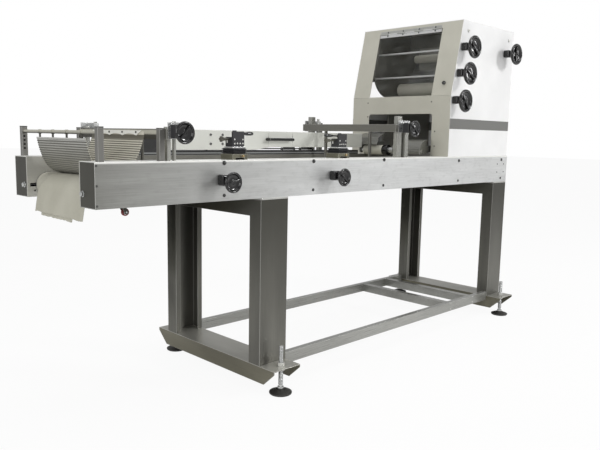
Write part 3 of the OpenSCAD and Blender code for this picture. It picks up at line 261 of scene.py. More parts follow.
# %% Paints
def painted(name, colour, shade, roughness, peel=0.03, coat=0.0, stripe=None):
    finish = Finish(name)
    cloudy = limits(finish.noise((6.0, 6.0, 6.0), 3.0), 0.3, 0.7)
    peeled = finish.noise((450.0, 450.0, 450.0), 1.0)
    base = finish.mix(cloudy, shade, colour)
    if stripe:
        low, high, grey = stripe
        height = finish.node("ShaderNodeSeparateXYZ", None, {0: finish.place}, out=2)
        base = finish.mix((height > low) * (height < high), base, grey)
    # Painted highlight: the rounded edges are lightened towards white.
    base = finish.mix(finish.edge * 0.25, base, tone(250, 250, 248))
    return finish.surface(base_color=base, roughness=cloudy * 0.06 + roughness, coat_weight=coat,
                          normal=finish.bumps(peeled, peel, 0.0004))


def textured(name, colour, shade, roughness, size=900.0, depth=0.12, metallic=0.0):
    finish = Finish(name)
    grain = finish.noise((size, size, size), 2.0)
    cloudy = limits(finish.noise((9.0, 9.0, 9.0), 3.0), 0.3, 0.7)
    base = finish.mix(cloudy * 0.6 + limits(grain, 0.35, 0.65) * 0.4, shade, colour)
    # Painted highlight: the rounded edges are lightened.
    base = finish.mix(finish.edge * 0.3, base, tone(225, 224, 216))
    return finish.surface(base_color=base, roughness=grain * 0.12 + roughness, metallic=metallic,
                          normal=finish.bumps(grain, depth, 0.0003))


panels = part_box("side_panels")
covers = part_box("side_covers")
stripe = (panels[1].z + 0.156, panels[1].z + 0.214, tone(114, 114, 111))
white_paint = painted("white paint", tone(244, 244, 244), tone(238, 238, 238), 0.16, coat=0.2, stripe=stripe)
beige_paint = textured("beige paint", tone(197, 195, 183), tone(186, 184, 172), 0.42)
gloss_black = painted("gloss black", tone(9, 9, 10), tone(6, 6, 7), 0.1, peel=0.02, coat=0.5)
matt_black = textured("matt black", tone(44, 44, 46), tone(34, 34, 36), 0.5, depth=0.2)
grooved = (panels[1].z + 0.006, panels[1].z + 0.013, tone(126, 128, 128))
rail_black = painted("black anodising", tone(26, 26, 27), tone(20, 20, 21), 0.35, stripe=grooved)
white_plastic = painted("white plastic", tone(242, 242, 237), tone(235, 235, 229), 0.34)
board_plastic = painted("board plastic", tone(216, 217, 211), tone(208, 209, 203), 0.3)
sleeve = textured("roller sleeve", tone(202, 200, 188), tone(190, 188, 175), 0.5, size=500.0)
red_rubber = textured("red rubber", tone(128, 40, 38), tone(104, 30, 30), 0.5)
brass = textured("brass", tone(186, 160, 104), tone(160, 134, 84), 0.3, metallic=0.8, depth=0.05)
saddle_grey = textured("cast grey", tone(120, 118, 100), tone(84, 82, 70), 0.45, metallic=0.3)
screw_grey = textured("screw grey", tone(112, 112, 110), tone(88, 88, 86), 0.35, metallic=0.5, depth=0.04)
knob_olive = textured("knob olive", tone(96, 94, 82), tone(60, 59, 52), 0.4)
print("paints and plastics ready")

# %% [markdown]
# ### Felt
# The belt and the apron are needle felt on a woven core: short fibres in all directions over
# a faint square weave, a little soiled by flour. The ribbed mat is a coated cloth, grey on
# its outer side and beige inside, with grooves darkened as painted shade. Its grooves are told
# by an attribute that the mat's own geometry tree writes.

# %% Felt and mat
def felt(name, colour, shade):
    finish = Finish(name)
    fibres = finish.noise((2600.0, 1400.0, 2600.0), 3.0)
    soiled = limits(finish.noise((5.0, 8.0, 6.0), 4.0), 0.35, 0.7)
    threads = finish.noise((60.0, 1500.0, 60.0), 1.0) * 0.5 + finish.noise((1500.0, 60.0, 1500.0), 1.0) * 0.5
    mask = soiled * 0.5 + limits(fibres, 0.3, 0.7) * 0.3 + limits(threads, 0.4, 0.6) * 0.2
    return finish.surface(base_color=finish.mix(mask, shade, colour), roughness=0.9,
                          normal=finish.bumps(fibres * 0.6 + threads * 0.8, 0.35, 0.0005))


def ribbed_cloth(name, colour, shade, groove, fade=None):
    finish = Finish(name)
    rib = finish.node("ShaderNodeAttribute", {"attribute_name": "rib"}, out=2)
    fibres = finish.noise((1800.0, 500.0, 1800.0), 2.0)
    patches = limits(finish.noise((30.0, 7.0, 40.0), 3.0), 0.35, 0.7)
    base = finish.mix(patches * 0.6 + fibres * 0.4, shade, colour)
    if fade:
        low, high, deep = fade
        height = finish.node("ShaderNodeSeparateXYZ", None, {0: finish.place}, out=2)
        base = finish.mix(limits(height, high, low) * 0.8, base, deep)
    # Painted shade: the grooves, and the band under the clamp bar, take the darker groove colour.
    base = finish.mix(limits(rib, 0.5, 0.05), base, groove)
    return finish.surface(base_color=base, roughness=0.7, normal=finish.bumps(fibres, 0.2, 0.0004))


belt_felt = felt("belt felt", tone(186, 184, 172), tone(166, 164, 151))
apron_felt = felt("apron felt", tone(191, 189, 176), tone(170, 168, 154))
mat_outside = ribbed_cloth("mat outside", tone(198, 198, 194), tone(172, 172, 168), tone(96, 95, 89),
                           fade=(panels[1].z - 0.01, panels[1].z + 0.07, tone(122, 120, 104)))
mat_inside = ribbed_cloth("mat inside", tone(216, 213, 200), tone(198, 195, 182), tone(104, 101, 90))
print("felt and mat ready")

# %% [markdown]
# ### Clear guard
# The guard door is a clear sheet, smoked a little by flour dust. True refraction would be
# slow and would be lost on export, so most of the sheet is simply see-through, and the gloss
# of its surface comes from the shader.

# %% Clear sheet
def clear_sheet():
    finish = Finish("clear sheet")
    smears = limits(finish.noise((5.0, 9.0, 22.0), 4.0), 0.4, 0.8)
    return finish.surface(base_color=finish.mix(smears, tone(60, 62, 60), tone(150, 153, 150)),
                          roughness=0.1, alpha=smears * 0.07 + 0.04)


clear = clear_sheet()
clear.use_backface_culling = False
print("clear sheet ready")

# %% [markdown]
# ## From a CAD solid to a piece
# A node that already has its shape needs only its edges. Real sheet metal has folds with a
# radius and real plastic has no knife edge, and a highlight along them is what makes metal
# look like metal. First come the helpers that every piece needs. One links a mesh, gives it
# finishes and lets it ride on a body. The others take a mesh out of its tools: a bmesh, or a
# modifier whose result is kept as plain data, because an export knows no modifiers.

# %% Helpers for pieces
SHARP = 35


def piece(mesh, name, body, finishes, replaces=()):
    obj = bpy.data.objects.new(name, mesh)
    bpy.context.scene.collection.objects.link(obj)
    for finish in finishes if isinstance(finishes, (list, tuple)) else [finishes]:
        if finish.name not in mesh.materials:
            mesh.materials.append(finish)
    if replaces:
        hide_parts(*replaces)
    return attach(obj, body)


def to_mesh(bm, name, smooth=SHARP):
    mesh = bpy.data.meshes.new(name)
    bm.to_mesh(mesh)
    bm.free()
    mesh.shade_smooth()
    mesh.set_sharp_from_angle(angle=math.radians(smooth))
    return mesh


def plain_mesh(obj):
    """The mesh that an object's modifiers make, as plain data."""
    graph = bpy.context.evaluated_depsgraph_get()
    shaped = obj.evaluated_get(graph)
    mesh = bpy.data.meshes.new_from_object(shaped, preserve_all_data_layers=True, depsgraph=graph)
    obj.modifiers.clear()
    return mesh


def settle(obj):
    """Applies every modifier of an object and leaves a plain mesh."""
    obj.data = plain_mesh(obj)
    return obj


def weigh(obj):
    """Flat faces keep their own direction, and only the rounds between them shade softly."""
    weighted = obj.modifiers.new("weigh", "WEIGHTED_NORMAL")
    weighted.keep_sharp, weighted.weight = True, 100
    return settle(obj)


print("edges over", SHARP, "degrees stay sharp")

# %% [markdown]
# ### Rounded edges
# The solid's loose triangles are merged and flat areas become single faces, so that a bevel
# meets clean edges. A bevel modifier could round them too, but these rounds are to carry an
# attribute on which the finish paints a highlight. Where a node holds parts of two materials,
# the finish of a face is picked by where the face lies.

# %% Dressing a CAD node
def merged(node):
    bm = bmesh.new()
    bm.from_mesh(frame["nodes"][node].data)
    bmesh.ops.remove_doubles(bm, verts=bm.verts, dist=1e-5)
    return bm


def rounded(bm, width):
    """Dissolves flat areas and rounds the sharp edges; the rounds carry the edge attribute."""
    bmesh.ops.dissolve_limit(bm, angle_limit=math.radians(0.5), verts=bm.verts, edges=bm.edges)
    if not width:
        return
    edges = [e for e in bm.edges if e.is_manifold and e.calc_face_angle(0) > math.radians(SHARP)]
    made = bmesh.ops.bevel(bm, geom=edges, offset=width, segments=2, profile=0.5, affect="EDGES",
                           clamp_overlap=False)
    layer = bm.loops.layers.float.new("edge")
    for face in made["faces"]:
        for loop in face.loops:
            loop[layer] = 1.0


def dress(node, finish, width=0.0008, choose=()):
    """A node's own shape with rounded edges; choose holds pairs of a finish and a test of a face."""
    bm = merged(node)
    rounded(bm, width)
    for face in bm.faces:
        centre = face.calc_center_median()
        picked = [i + 1 for i, (_, test) in enumerate(choose) if test(centre)]
        face.material_index = picked[0] if picked else 0
    finishes = [finish] + [other for other, _ in choose]
    obj = piece(to_mesh(bm, node), node + "_finished", body_of[node], finishes, [node])
    weigh(obj)
    print(f"{obj.name}: {len(obj.data.polygons)} faces")


print("CAD nodes can be dressed")

# %% [markdown]
# ### Blocks and separate solids
# Some small parts are made anew as blocks with rounded edges. Some nodes hold many like
# solids, such as all the screws. A walk from corner to corner finds what hangs together and
# gives the box of each solid, so that a new part comes exactly where the CAD model has it.

# %% Blocks and separate solids
def box_shape(bm, low, high, round_by, segments=3):
    """A block with rounded edges."""
    made = bmesh.ops.create_cube(bm, size=1)["verts"]
    for vert in made:
        vert.co = Vector(low[i] + (vert.co[i] + 0.5) * (high[i] - low[i]) for i in range(3))
    edges = list({edge for vert in made for edge in vert.link_edges})
    bmesh.ops.bevel(bm, geom=edges, offset=round_by, segments=segments, profile=0.5, affect="EDGES")


def loose_parts(node):
    """Lowest and highest corner of each separate solid in a node."""
    bm = merged(node)
    left, found = set(bm.verts), []
    while left:
        stack, group = [left.pop()], []
        while stack:
            vert = stack.pop()
            group.append(vert.co.copy())
            for edge in vert.link_edges:
                other = edge.other_vert(vert)
                if other in left:
                    left.remove(other)
                    stack.append(other)
        found.append(tuple(Vector(pick(c[i] for c in group) for i in range(3)) for pick in (min, max)))
    bm.free()
    return sorted(found, key=lambda b: (round(b[0].x, 4), round(b[0].y, 4), round(b[0].z, 4)))


print("panel_screws holds", len(loose_parts("panel_screws")), "solids")


# %% [markdown]
# ## The stand
# Two portal frames of lipped channel stand on foot beams, with long rails near the floor.
# They are welded and bead-blasted, so their steel is dull, while the rails and the plates
# under the boxes are bright. The channels could be folded anew here, but the CAD solids have
# their folds already, so each node gets rounded edges and a steel of its own.

# %% Stand
beam_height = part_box("foot_beams")[1].z
# The top faces take the lit copy of the beam steel, a painted light.
dress("foot_beams", beam_steel, 0.0014, choose=[(lit_beam_top, lambda p: p.z > beam_height - 0.0016)])
dress("portal_left", leg_steel, 0.0014)
dress("portal_right", leg_steel, 0.0014)
dress("stand_rails", rail_steel, 0.001)
dress("stand_fasteners", plate_steel, 0.0008)

# %% [markdown]
# ## Turned parts
# Feet, handwheels and rollers come off a lathe. A lathe needs only a profile, pairs of a
# radius and a place along the axis, that is spun round. The ends are closed with a single
# point, and the normals are recalculated because a spin may come out inside out.

# %% Lathe
def turned(bm, profile, centre, axis, steps=48):
    """Spins (radius, along) pairs about an axis."""
    axis = Vector(axis).normalized()
    side = axis.orthogonal().normalized()
    across = axis.cross(side)
    rings, faces = [], []
    for radius, along in profile:
        at = Vector(centre) + axis * along
        if radius < 1e-7:
            rings.append([bm.verts.new(at)])
        else:
            rings.append([bm.verts.new(at + (side * math.cos(a) + across * math.sin(a)) * radius)
                          for a in (2 * math.pi * i / steps for i in range(steps))])
    for one, two in zip(rings, rings[1:]):
        for i in range(steps):
            j = (i + 1) % steps
            corners = [one[i % len(one)], one[j % len(one)], two[j % len(two)], two[i % len(two)]]
            corners = list(dict.fromkeys(corners))
            if len(corners) > 2:
                faces.append(bm.faces.new(corners))
    bmesh.ops.recalc_face_normals(bm, faces=faces)


def soften(profile, radius=0.001, steps=3):
    """Rounds the corners of a profile."""
    out = [profile[0]]
    for before, here, after in zip(profile, profile[1:], profile[2:]):
        b, h, a = Vector(before), Vector(here), Vector(after)
        reach = min(radius, (b - h).length * 0.45, (a - h).length * 0.45)
        if reach < 1e-6 or (h - b).angle(a - h, 0) < 0.2:
            out.append(here)
            continue
        start, end = h + (b - h).normalized() * reach, h + (a - h).normalized() * reach
        for i in range(steps + 1):
            t = i / steps
            out.append(tuple((1 - t) ** 2 * start + 2 * t * (1 - t) * h + t * t * end))
    return out + [profile[-1]]


print("a square corner becomes", len(soften([(0, 0), (1, 0), (1, 1)])) - 2, "points")


# %% [markdown]
# ## Trees that repeat a shape
# Screws, dots, fold rings and threads repeat one small shape. Geometry Nodes place an
# instance at every point of a mesh, turned and scaled by attributes of the points, and make
# it real at the end, because an export keeps no instances.

# %% Geometry trees
class Shaper(Tree):
    """A geometry tree with named inputs."""

    def __init__(self, name, inputs):
        group = bpy.data.node_groups.new(name, "GeometryNodeTree")
        super().__init__(group)
        group.interface.new_socket("Geometry", in_out="INPUT", socket_type="NodeSocketGeometry")
        group.interface.new_socket("Geometry", in_out="OUTPUT", socket_type="NodeSocketGeometry")
        for label, kind in inputs.items():
            group.interface.new_socket(label, in_out="INPUT", socket_type="NodeSocket" + kind)
        self.group, self.entry = group, group.nodes.new("NodeGroupInput")

    def input(self, label):
        return Wire(self, self.entry.outputs[label])

    def done(self, geometry):
        real = self.node("GeometryNodeRealizeInstances", None, {0: geometry})
        coated = self.node("GeometryNodeSetMaterial", None, {0: real, 2: self.input("Finish")})
        self.node("NodeGroupOutput", None, {0: coated})
        return self.group


def grow(base, group, values):
    """Runs a tree on a mesh or curve object and leaves a plain mesh."""
    modifier = base.modifiers.new("grow", "NODES")
    modifier.node_group = group
    for item in group.interface.items_tree:
        if item.in_out == "INPUT" and item.name in values:
            modifier[item.identifier] = values[item.name]
    mesh = plain_mesh(base)
    bpy.data.objects.remove(base)
    return mesh


def repeat_tree():
    shaper = Shaper("repeat on points", {"Shape": "Object", "Finish": "Material"})
    shape = shaper.node("GeometryNodeObjectInfo", None, {0: shaper.input("Shape")}, out=4)
    turn = shaper.node("GeometryNodeInputNamedAttribute", {"data_type": "FLOAT_VECTOR"}, {0: "turn"})
    size = shaper.node("GeometryNodeInputNamedAttribute", {"data_type": "FLOAT"}, {0: "size"})
    placed = shaper.node("GeometryNodeInstanceOnPoints", None, {
        "Points": shaper.input("Geometry"), "Instance": shape, "Rotation": turn, "Scale": size})
    return shaper.done(placed)


repeated = repeat_tree()
print("tree ready:", repeated.name)

# %% [markdown]
# ### Screw heads
# The boxes and the head are closed with button-head screws, each on a black disc that is a
# washer and also painted shade: its dark rim round the head stands for shade. They could be
# copied one by one. Instead one head, with a round socket in it and one metre in radius, is
# turned on the lathe, and the tree puts it wherever the CAD model has a screw, at the size
# that it has there.

# %% Screws
def button_head():
    bm = bmesh.new()
    socket = [(0.0, 0.3), (0.42, 0.3), (0.42, 0.62)]
    dome = [(0.6, 0.6), (0.85, 0.44), (0.98, 0.2), (1.0, 0.0), (0.0, 0.0)]
    turned(bm, socket + dome, (0, 0, 0), (0, 0, 1), 18)
    obj = bpy.data.objects.new("button_head_shape", to_mesh(bm, "button_head", 40))
    bpy.context.scene.collection.objects.link(obj)
    return obj


def points_object(points):
    """A mesh of single points that carry how an instance is turned and how large it is."""
    mesh = bpy.data.meshes.new("points")
    mesh.from_pydata([p for p, _, _ in points], [], [])
    mesh.attributes.new("turn", "FLOAT_VECTOR", "POINT")
    mesh.attributes.new("size", "FLOAT", "POINT")
    for i, (_, turn, size) in enumerate(points):
        mesh.attributes["turn"].data[i].vector = turn
        mesh.attributes["size"].data[i].value = size
    obj = bpy.data.objects.new("points", mesh)
    bpy.context.scene.collection.objects.link(obj)
    return obj


def repeat(shape, points, name, body, finish, replaces=()):
    mesh = grow(points_object(points), repeated, {"Shape": shape, "Finish": finish})
    obj = piece(mesh, name, body, [finish], replaces)
    print(f"{name}: {len(points)} times {shape.name}")
    return obj


TO_FRONT, TO_FACE = (math.pi / 2, 0, 0), (0, -math.pi / 2, 0)
head_shape = button_head()
screws, tension = [], []
for low, high in loose_parts("panel_screws"):
    middle, wide = (low + high) / 2, high - low
    if wide.x > 0.03:
        tension.append((low, high))
    elif wide.y < wide.x:
        screws.append(((middle.x, high.y, middle.z), TO_FRONT, wide.x / 2))
    else:
        screws.append(((high.x, middle.y, middle.z), TO_FACE, wide.y / 2))
repeat(head_shape, screws, "panel_screw_washers", "base", gloss_black, ["panel_screws"])

# %% [markdown]
# The same shape, a little smaller and nine tenths of a millimetre further out, makes the
# head on each washer, and the black ring left round it is painted shade. Above a height of
# 1.6 m a head is a white cap that nearly hides its washer; the thin black ring round the cap
# is a painted shadow.

# %% Screw heads on their washers
CAP_HEIGHT = 1.6
OUT = {TO_FRONT: Vector((0, -0.0009, 0)), TO_FACE: Vector((-0.0009, 0, 0))}
heads = []
for at, turn, size in screws:
    share = 0.8 if at[2] < CAP_HEIGHT else 0.97
    heads.append((tuple(Vector(at) + OUT[turn]), turn, size * share))
capped = [head for head in heads if head[1] == TO_FRONT and head[0][2] > CAP_HEIGHT]
bare = [head for head in heads if head not in capped]
repeat(head_shape, bare, "panel_screw_heads", "base", screw_grey)
repeat(head_shape, capped, "cover_screw_caps", "base", white_plastic)

# %% [markdown]
# The belt is tightened by a long bolt at the end of each side box. It has a chamfered
# hexagon head, a washer, and a real thread: a spiral curve with a small square section.

# %% Threads and tension bolts
def thread_tree():
    shaper = Shaper("thread", {"Radius": "Float", "Pitch": "Float", "Length": "Float", "Depth": "Float",
                               "Finish": "Material"})
    spiral = shaper.node("GeometryNodeCurveSpiral", None, {
        "Resolution": 20, "Rotations": shaper.input("Length") / shaper.input("Pitch"),
        "Start Radius": shaper.input("Radius"), "End Radius": shaper.input("Radius"),
        "Height": shaper.input("Length")})
    ridge = shaper.node("GeometryNodeCurvePrimitiveCircle", None, {
        "Resolution": 4, "Radius": shaper.input("Depth")})
    swept = shaper.node("GeometryNodeCurveToMesh", None, {"Curve": spiral, "Profile Curve": ridge})
    return shaper.done(swept)


threads = thread_tree()


def thread(name, start, direction, radius, length, body, finish, pitch=0.0015):
    base = points_object([((0, 0, 0), (0, 0, 0), 1.0)])
    mesh = grow(base, threads, {"Radius": radius, "Pitch": pitch, "Length": length, "Depth": pitch * 0.4,
                                "Finish": finish})
    turn = Vector((0, 0, 1)).rotation_difference(Vector(direction)).to_matrix().to_4x4()
    mesh.transform(Matrix.Translation(start) @ turn)
    return piece(mesh, name, body, [finish])


bm = bmesh.new()
for low, high in tension:
    axis = ((low.y + high.y) / 2, (low.z + high.z) / 2)
    radius = (high.z - low.z) / 2
    at = (low.x, *axis)
    hexagon = soften([(0, 0.0), (0.0072, 0.0), (0.009, 0.0012), (0.009, 0.008), (0, 0.008)], 0.0004)
    turned(bm, hexagon, at, (1, 0, 0), 6)
    turned(bm, soften([(0, 0.008), (radius, 0.008), (radius, 0.01), (0, 0.01)], 0.0004), at, (1, 0, 0), 40)
    turned(bm, [(0.0046, 0.01), (0.0046, high.x - low.x), (0, high.x - low.x)], at, (1, 0, 0), 24)
piece(to_mesh(bm, "bolts", 30), "tension_bolts", "base", bright_steel)
for i, (low, high) in enumerate(tension):
    start = (low.x + 0.014, (low.y + high.y) / 2, (low.z + high.z) / 2)
    thread(f"tension_thread_{i + 1}", start, (1, 0, 0), 0.0046, 0.05, "base", bright_steel)

# %% [markdown]
# ### Levelling feet
# A foot is a domed pad with a collar, and a threaded stud that stands up through two nuts.
# The pad is moulded in black and the stud is bright, so the piece has two finishes. A pad
# could be a flattened sphere, but a lathe profile keeps its rim and its collar crisp.

# %% Feet
def foot(number):
    node = f"levelling_foot_{number}"
    low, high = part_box(node)
    wide, tall = (high.x - low.x) / 2, high.z
    at = ((low.x + high.x) / 2, (low.y + high.y) / 2, 0)
    bm = bmesh.new()
    pad = [(0, 0), (wide - 0.003, 0), (wide, 0.003), (wide, 0.009), (0.03, 0.016), (0.021, 0.0205),
           (0.014, 0.021), (0.014, 0.024), (0, 0.024)]
    turned(bm, soften(pad, 0.002), at, (0, 0, 1), 56)
    dark = set(bm.faces)
    stud = [(0, 0.023), (0.0135, 0.023), (0.0135, 0.032), (0.0095, 0.033), (0.0095, tall - 0.001),
            (0.0085, tall), (0, tall)]
    turned(bm, soften(stud, 0.0005), at, (0, 0, 1), 32)
    for face in bm.faces:
        face.material_index = 0 if face in dark else 1
    piece(to_mesh(bm, node), node + "_finished", body_of[node], [foot_rubber, bright_steel], [node])
    thread(node + "_thread", (at[0], at[1], 0.04), (0, 0, 1), 0.0093, tall - 0.042, body_of[node],
           bright_steel, 0.0025)


foot_rubber = textured("foot rubber", tone(58, 57, 54), tone(44, 43, 41), 0.5)
for number in range(1, 5):
    foot(number)
print("four feet")

# %% [markdown]
# ## The conveyor
# The side boxes, their end caps and the inner plates are folded sheet, and the belt is an
# endless band of felt. These nodes have their shape and need only edges or a finish. The
# rollers are turned anew between the ends that the CAD model gives, because a real drum has
# recessed ends and soft edges, and both show where light grazes them.

# %% Conveyor
def coat(node, finish, slot):
    """A CAD node that keeps its shape gets a finish of its own."""
    obj = frame["nodes"][node]
    obj.data.materials.clear()
    obj.data.materials.append(finish)


dress("side_panels", side_steel, 0.0009)
dress("end_caps", cap_steel, 0.0012)
dress("conveyor_frame", frame_steel, 0.0003)
coat("belt", belt_felt, "belt")


def drum(node, finish, journal, step=0.003):
    """A roller between its shaft ends: the barrel is as wide as the node less its journals."""
    low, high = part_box(node)
    radius = (high.z - low.z) / 2
    at = ((low.x + high.x) / 2, low.y, (low.z + high.z) / 2)
    length = high.y - low.y
    ends, shaft = journal
    bm = bmesh.new()
    turned(bm, soften([(0, 0), (shaft - 0.0008, 0), (shaft, 0.0008), (shaft, ends), (radius * 0.55, ends),
                       (radius * 0.6, ends + step), (radius * 0.86, ends + step), (radius * 0.9, ends),
                       (radius, ends), (radius, length - ends), (radius * 0.9, length - ends),
                       (radius * 0.86, length - ends - step), (radius * 0.6, length - ends - step),
                       (radius * 0.55, length - ends), (shaft, length - ends), (shaft, length - 0.0008),
                       (shaft - 0.0008, length), (0, length)], 0.001), at, (0, 1, 0), 72)
    return piece(to_mesh(bm, node), node + "_finished", body_of[node], finish, [node])


drum("end_roller", bright_steel, (0.035, 0.006))
drum("drive_drum", bright_steel, (0.028, 0.006))
drum("upper_roller", sleeve, (0.011, 0.008))
drum("lower_roller", sleeve, (0.011, 0.008))
for node in ("upper_slide", "lower_slide"):
    dress(node, inner_steel, 0.001)
print("conveyor and rollers")

# %% [markdown]
# ## The discharge end
# Four square posts stand on the side boxes. A rod between the outer two and a flat bar
# between the inner two hold the ribbed mat, which hangs down, rests on the belt and rises
# again, so that finished pieces of dough roll on under its weight. The outer posts have
# square plugs in their inner sides; a plate that stands three tenths of a millimetre out
# looks like one and needs no hole.

# %% Posts
dress("discharge_posts", post_steel, 0.0009)
dress("post_caps", matt_black, 0.0012)


def post_plugs():
    """Square plugs, four above one another, in the inner sides of the two outer posts."""
    low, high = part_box("discharge_posts")
    post, half, proud, pitch, first = 0.022, 0.004, 0.0003, 0.0159, 0.031
    x = low.x + 0.009
    bm = bmesh.new()
    for face in (low.y + post, high.y - post):
        for up in range(4):
            z = panels[1].z + first + pitch * up
            box_shape(bm, (x - half, face - proud, z - half), (x + half, face + proud, z + half), 0.0001, 1)
    piece(to_mesh(bm, "plugs"), "post_plugs", "base", gloss_black)


post_plugs()
# The tube steel paints shade on the bars' underside.
dress("hanger_bars", tube_steel, 0)
dress("tracking_bracket", cap_steel, 0.0006)


def small_wheel(node):
    low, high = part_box(node)
    radius, at = (high.z - low.z) / 2, ((low.x + high.x) / 2, low.y, (low.z + high.z) / 2)
    length = high.y - low.y
    bm = bmesh.new()
    rubber = [(radius * 0.68, 0.006), (radius * 0.9, 0.005), (radius, 0.008), (radius, length - 0.008),
              (radius * 0.9, length - 0.005), (radius * 0.68, length - 0.006), (radius * 0.68, 0.006)]
    turned(bm, soften(rubber, 0.001), at, (0, 1, 0), 40)
    tyre = set(bm.faces)
    hub = [(0, 0), (0.003, 0), (0.003, 0.004), (0.006, 0.0045), (0.006, 0.0075), (radius * 0.7, 0.0075),
           (radius * 0.7, length - 0.0075), (0.006, length - 0.0075), (0.006, length - 0.0045),
           (0.003, length - 0.004), (0.003, length), (0, length)]
    turned(bm, soften(hub, 0.0004), at, (0, 1, 0), 40)
    for face in bm.faces:
        face.material_index = 0 if face in tyre else 1
    piece(to_mesh(bm, node), node + "_finished", body_of[node], [red_rubber, bright_steel], [node])


small_wheel("tracking_wheel")

# %% [markdown]
# ### The ribbed mat
# The mat is one sheet that follows a curve. The curve is made of two arcs, each drawn by
# four points, and a straight stretch, from the rod to the belt and up to the flat bar. A
# cloth simulation could hang it too, but a curve comes out the same on every run, and its
# length can be measured.

# %% The mat's route
def arc(p, t):
    """A place on the arc from p[0] to p[3] that leaves towards p[1] and arrives from p[2]."""
    return (1 - t) ** 3 * p[0] + 3 * (1 - t) ** 2 * t * p[1] + 3 * (1 - t) * t * t * p[2] + t ** 3 * p[3]


posts_low, posts_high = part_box("discharge_posts")
mat_low, mat_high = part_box("ribbed_mat")
outer_x, inner_x = posts_low.x + 0.011, posts_high.x - 0.011
mat_floor = mat_low.z + 0.0025
mat_top = mat_high.z - 0.029
outer_arc = [Vector((outer_x, 0, mat_top)), Vector((outer_x + 0.008, 0, mat_top - 0.054)),
             Vector((outer_x + 0.03, 0, mat_floor + 0.01)), Vector((outer_x + 0.082, 0, mat_floor))]
held = Vector((inner_x - 0.009, 0, mat_high.z - 0.022))
inner_arc = [Vector((inner_x - 0.12, 0, mat_floor)), Vector((inner_x - 0.07, 0, mat_floor + 0.004)),
             Vector((inner_x - 0.034, 0, mat_floor + 0.06)), held]
route = [arc(outer_arc, i / 60) for i in range(60)]
route += [outer_arc[3].lerp(inner_arc[0], i / 10) for i in range(10)]
route += [arc(inner_arc, i / 60) for i in range(61)] + [held + Vector((0, 0, 0.0215))]
route_length = sum((b - a).length for a, b in zip(route, route[1:]))
mat_width = mat_high.y - mat_low.y
print(f"mat: {mat_width:.3f} m wide, {route_length:.3f} m long")

# %% [markdown]
# The tree below lays the grid. Its columns are placed by a share of the route's length, its
# rows by a share of the width, and a cosine lifts the ribs along the curve's normal. The
# same wave is stored on the points, so that the cloth's finish knows where to paint shade in a
# groove; a band just below the clamp bar is stored as a groove too, as painted shadow. The
# sheet gets its thickness from Solidify, whose outer side takes the second finish.

# %% The mat
RIBS, COLUMNS_PER_RIB = 46, 8


def line_object(points):
    curve = bpy.data.curves.new("route", "CURVE")
    curve.dimensions = "3D"
    spline = curve.splines.new("POLY")
    spline.points.add(len(points) - 1)
    for target, point in zip(spline.points, points):
        target.co = (*point, 1)
    obj = bpy.data.objects.new("route", curve)
    bpy.context.scene.collection.objects.link(obj)
    return obj


def ribbed_tree():
    shaper = Shaper("ribbed sheet", {
        "Width": "Float", "Middle": "Float", "Ribs": "Float", "Height": "Float", "Unevenness": "Float",
        "Along": "Int", "Across": "Int", "Finish": "Material"})
    grid = shaper.node("GeometryNodeMeshGrid", None, {
        "Size X": 1.0, "Size Y": 1.0,
        "Vertices X": shaper.input("Along"), "Vertices Y": shaper.input("Across")})
    flat = shaper.node("GeometryNodeInputPosition")
    u = shaper.node("ShaderNodeSeparateXYZ", None, {0: flat}, 0) + 0.5
    v = shaper.node("ShaderNodeSeparateXYZ", None, {0: flat}, 1)
    sample = {"Curves": shaper.input("Geometry"), "Factor": u}
    position = shaper.node("GeometryNodeSampleCurve", {"mode": "FACTOR"}, sample, 1)
    tangent = shaper.node("GeometryNodeSampleCurve", {"mode": "FACTOR"}, sample, 2)
    normal = shaper.node("ShaderNodeVectorMath", {"operation": "CROSS_PRODUCT"}, {0: tangent, 1: (0, 1, 0)})
    at = shaper.node("ShaderNodeCombineXYZ", None, {0: u * 40, 1: v * 3, 2: 0.5})
    wander = shaper.node("ShaderNodeTexNoise", None, {0: at, "Scale": 1.0, "Detail": 2.0}) - 0.5
    phase = (u * shaper.input("Ribs") + wander * shaper.input("Unevenness")) * (2 * math.pi)
    wave = (shaper.node("ShaderNodeMath", {"operation": "COSINE"}, {0: phase}) + 1) * 0.5
    # Between ribs_to and clamped_from the rib value is 0, so this band takes the groove colour: a painted
    # shadow under the clamp bar.
    ribs_from, ribs_to, clamped_from = 0.012, 0.93, 0.972
    inside = (u > ribs_from) * (u < ribs_to)
    rib = wave * wave * inside
    lift = shaper.node("ShaderNodeVectorMath", {"operation": "SCALE"}, {
        0: normal, "Scale": (rib - 0.25) * shaper.input("Height")})
    side = shaper.node("ShaderNodeCombineXYZ", None, {1: v * shaper.input("Width") + shaper.input("Middle")})
    moved = shaper.node("ShaderNodeVectorMath", {"operation": "ADD"}, {0: position, 1: lift})
    moved = shaper.node("ShaderNodeVectorMath", {"operation": "ADD"}, {0: moved, 1: side})
    named = shaper.node("GeometryNodeStoreNamedAttribute", {"data_type": "FLOAT", "domain": "POINT"},
                        {"Geometry": grid, "Name": "rib",
                         "Value": rib + (u < ribs_from) + (u > clamped_from)})
    return shaper.done(shaper.node("GeometryNodeSetPosition", None, {"Geometry": named, "Position": moved}))


mesh = grow(line_object(route), ribbed_tree(), {
    "Width": mat_width, "Middle": (mat_low.y + mat_high.y) / 2, "Ribs": float(RIBS), "Height": 0.0022,
    "Unevenness": 0.12, "Along": RIBS * COLUMNS_PER_RIB + 1, "Across": 25, "Finish": mat_inside})
mat = piece(mesh, "mat", "base", [mat_inside, mat_outside], ["ribbed_mat"])
thick = mat.modifiers.new("thick", "SOLIDIFY")
thick.thickness, thick.offset, thick.material_offset, thick.use_rim = 0.0016, 0.0, 1, True
settle(mat)
mat.data.shade_smooth()
print("mat:", len(mat.data.polygons), "faces")

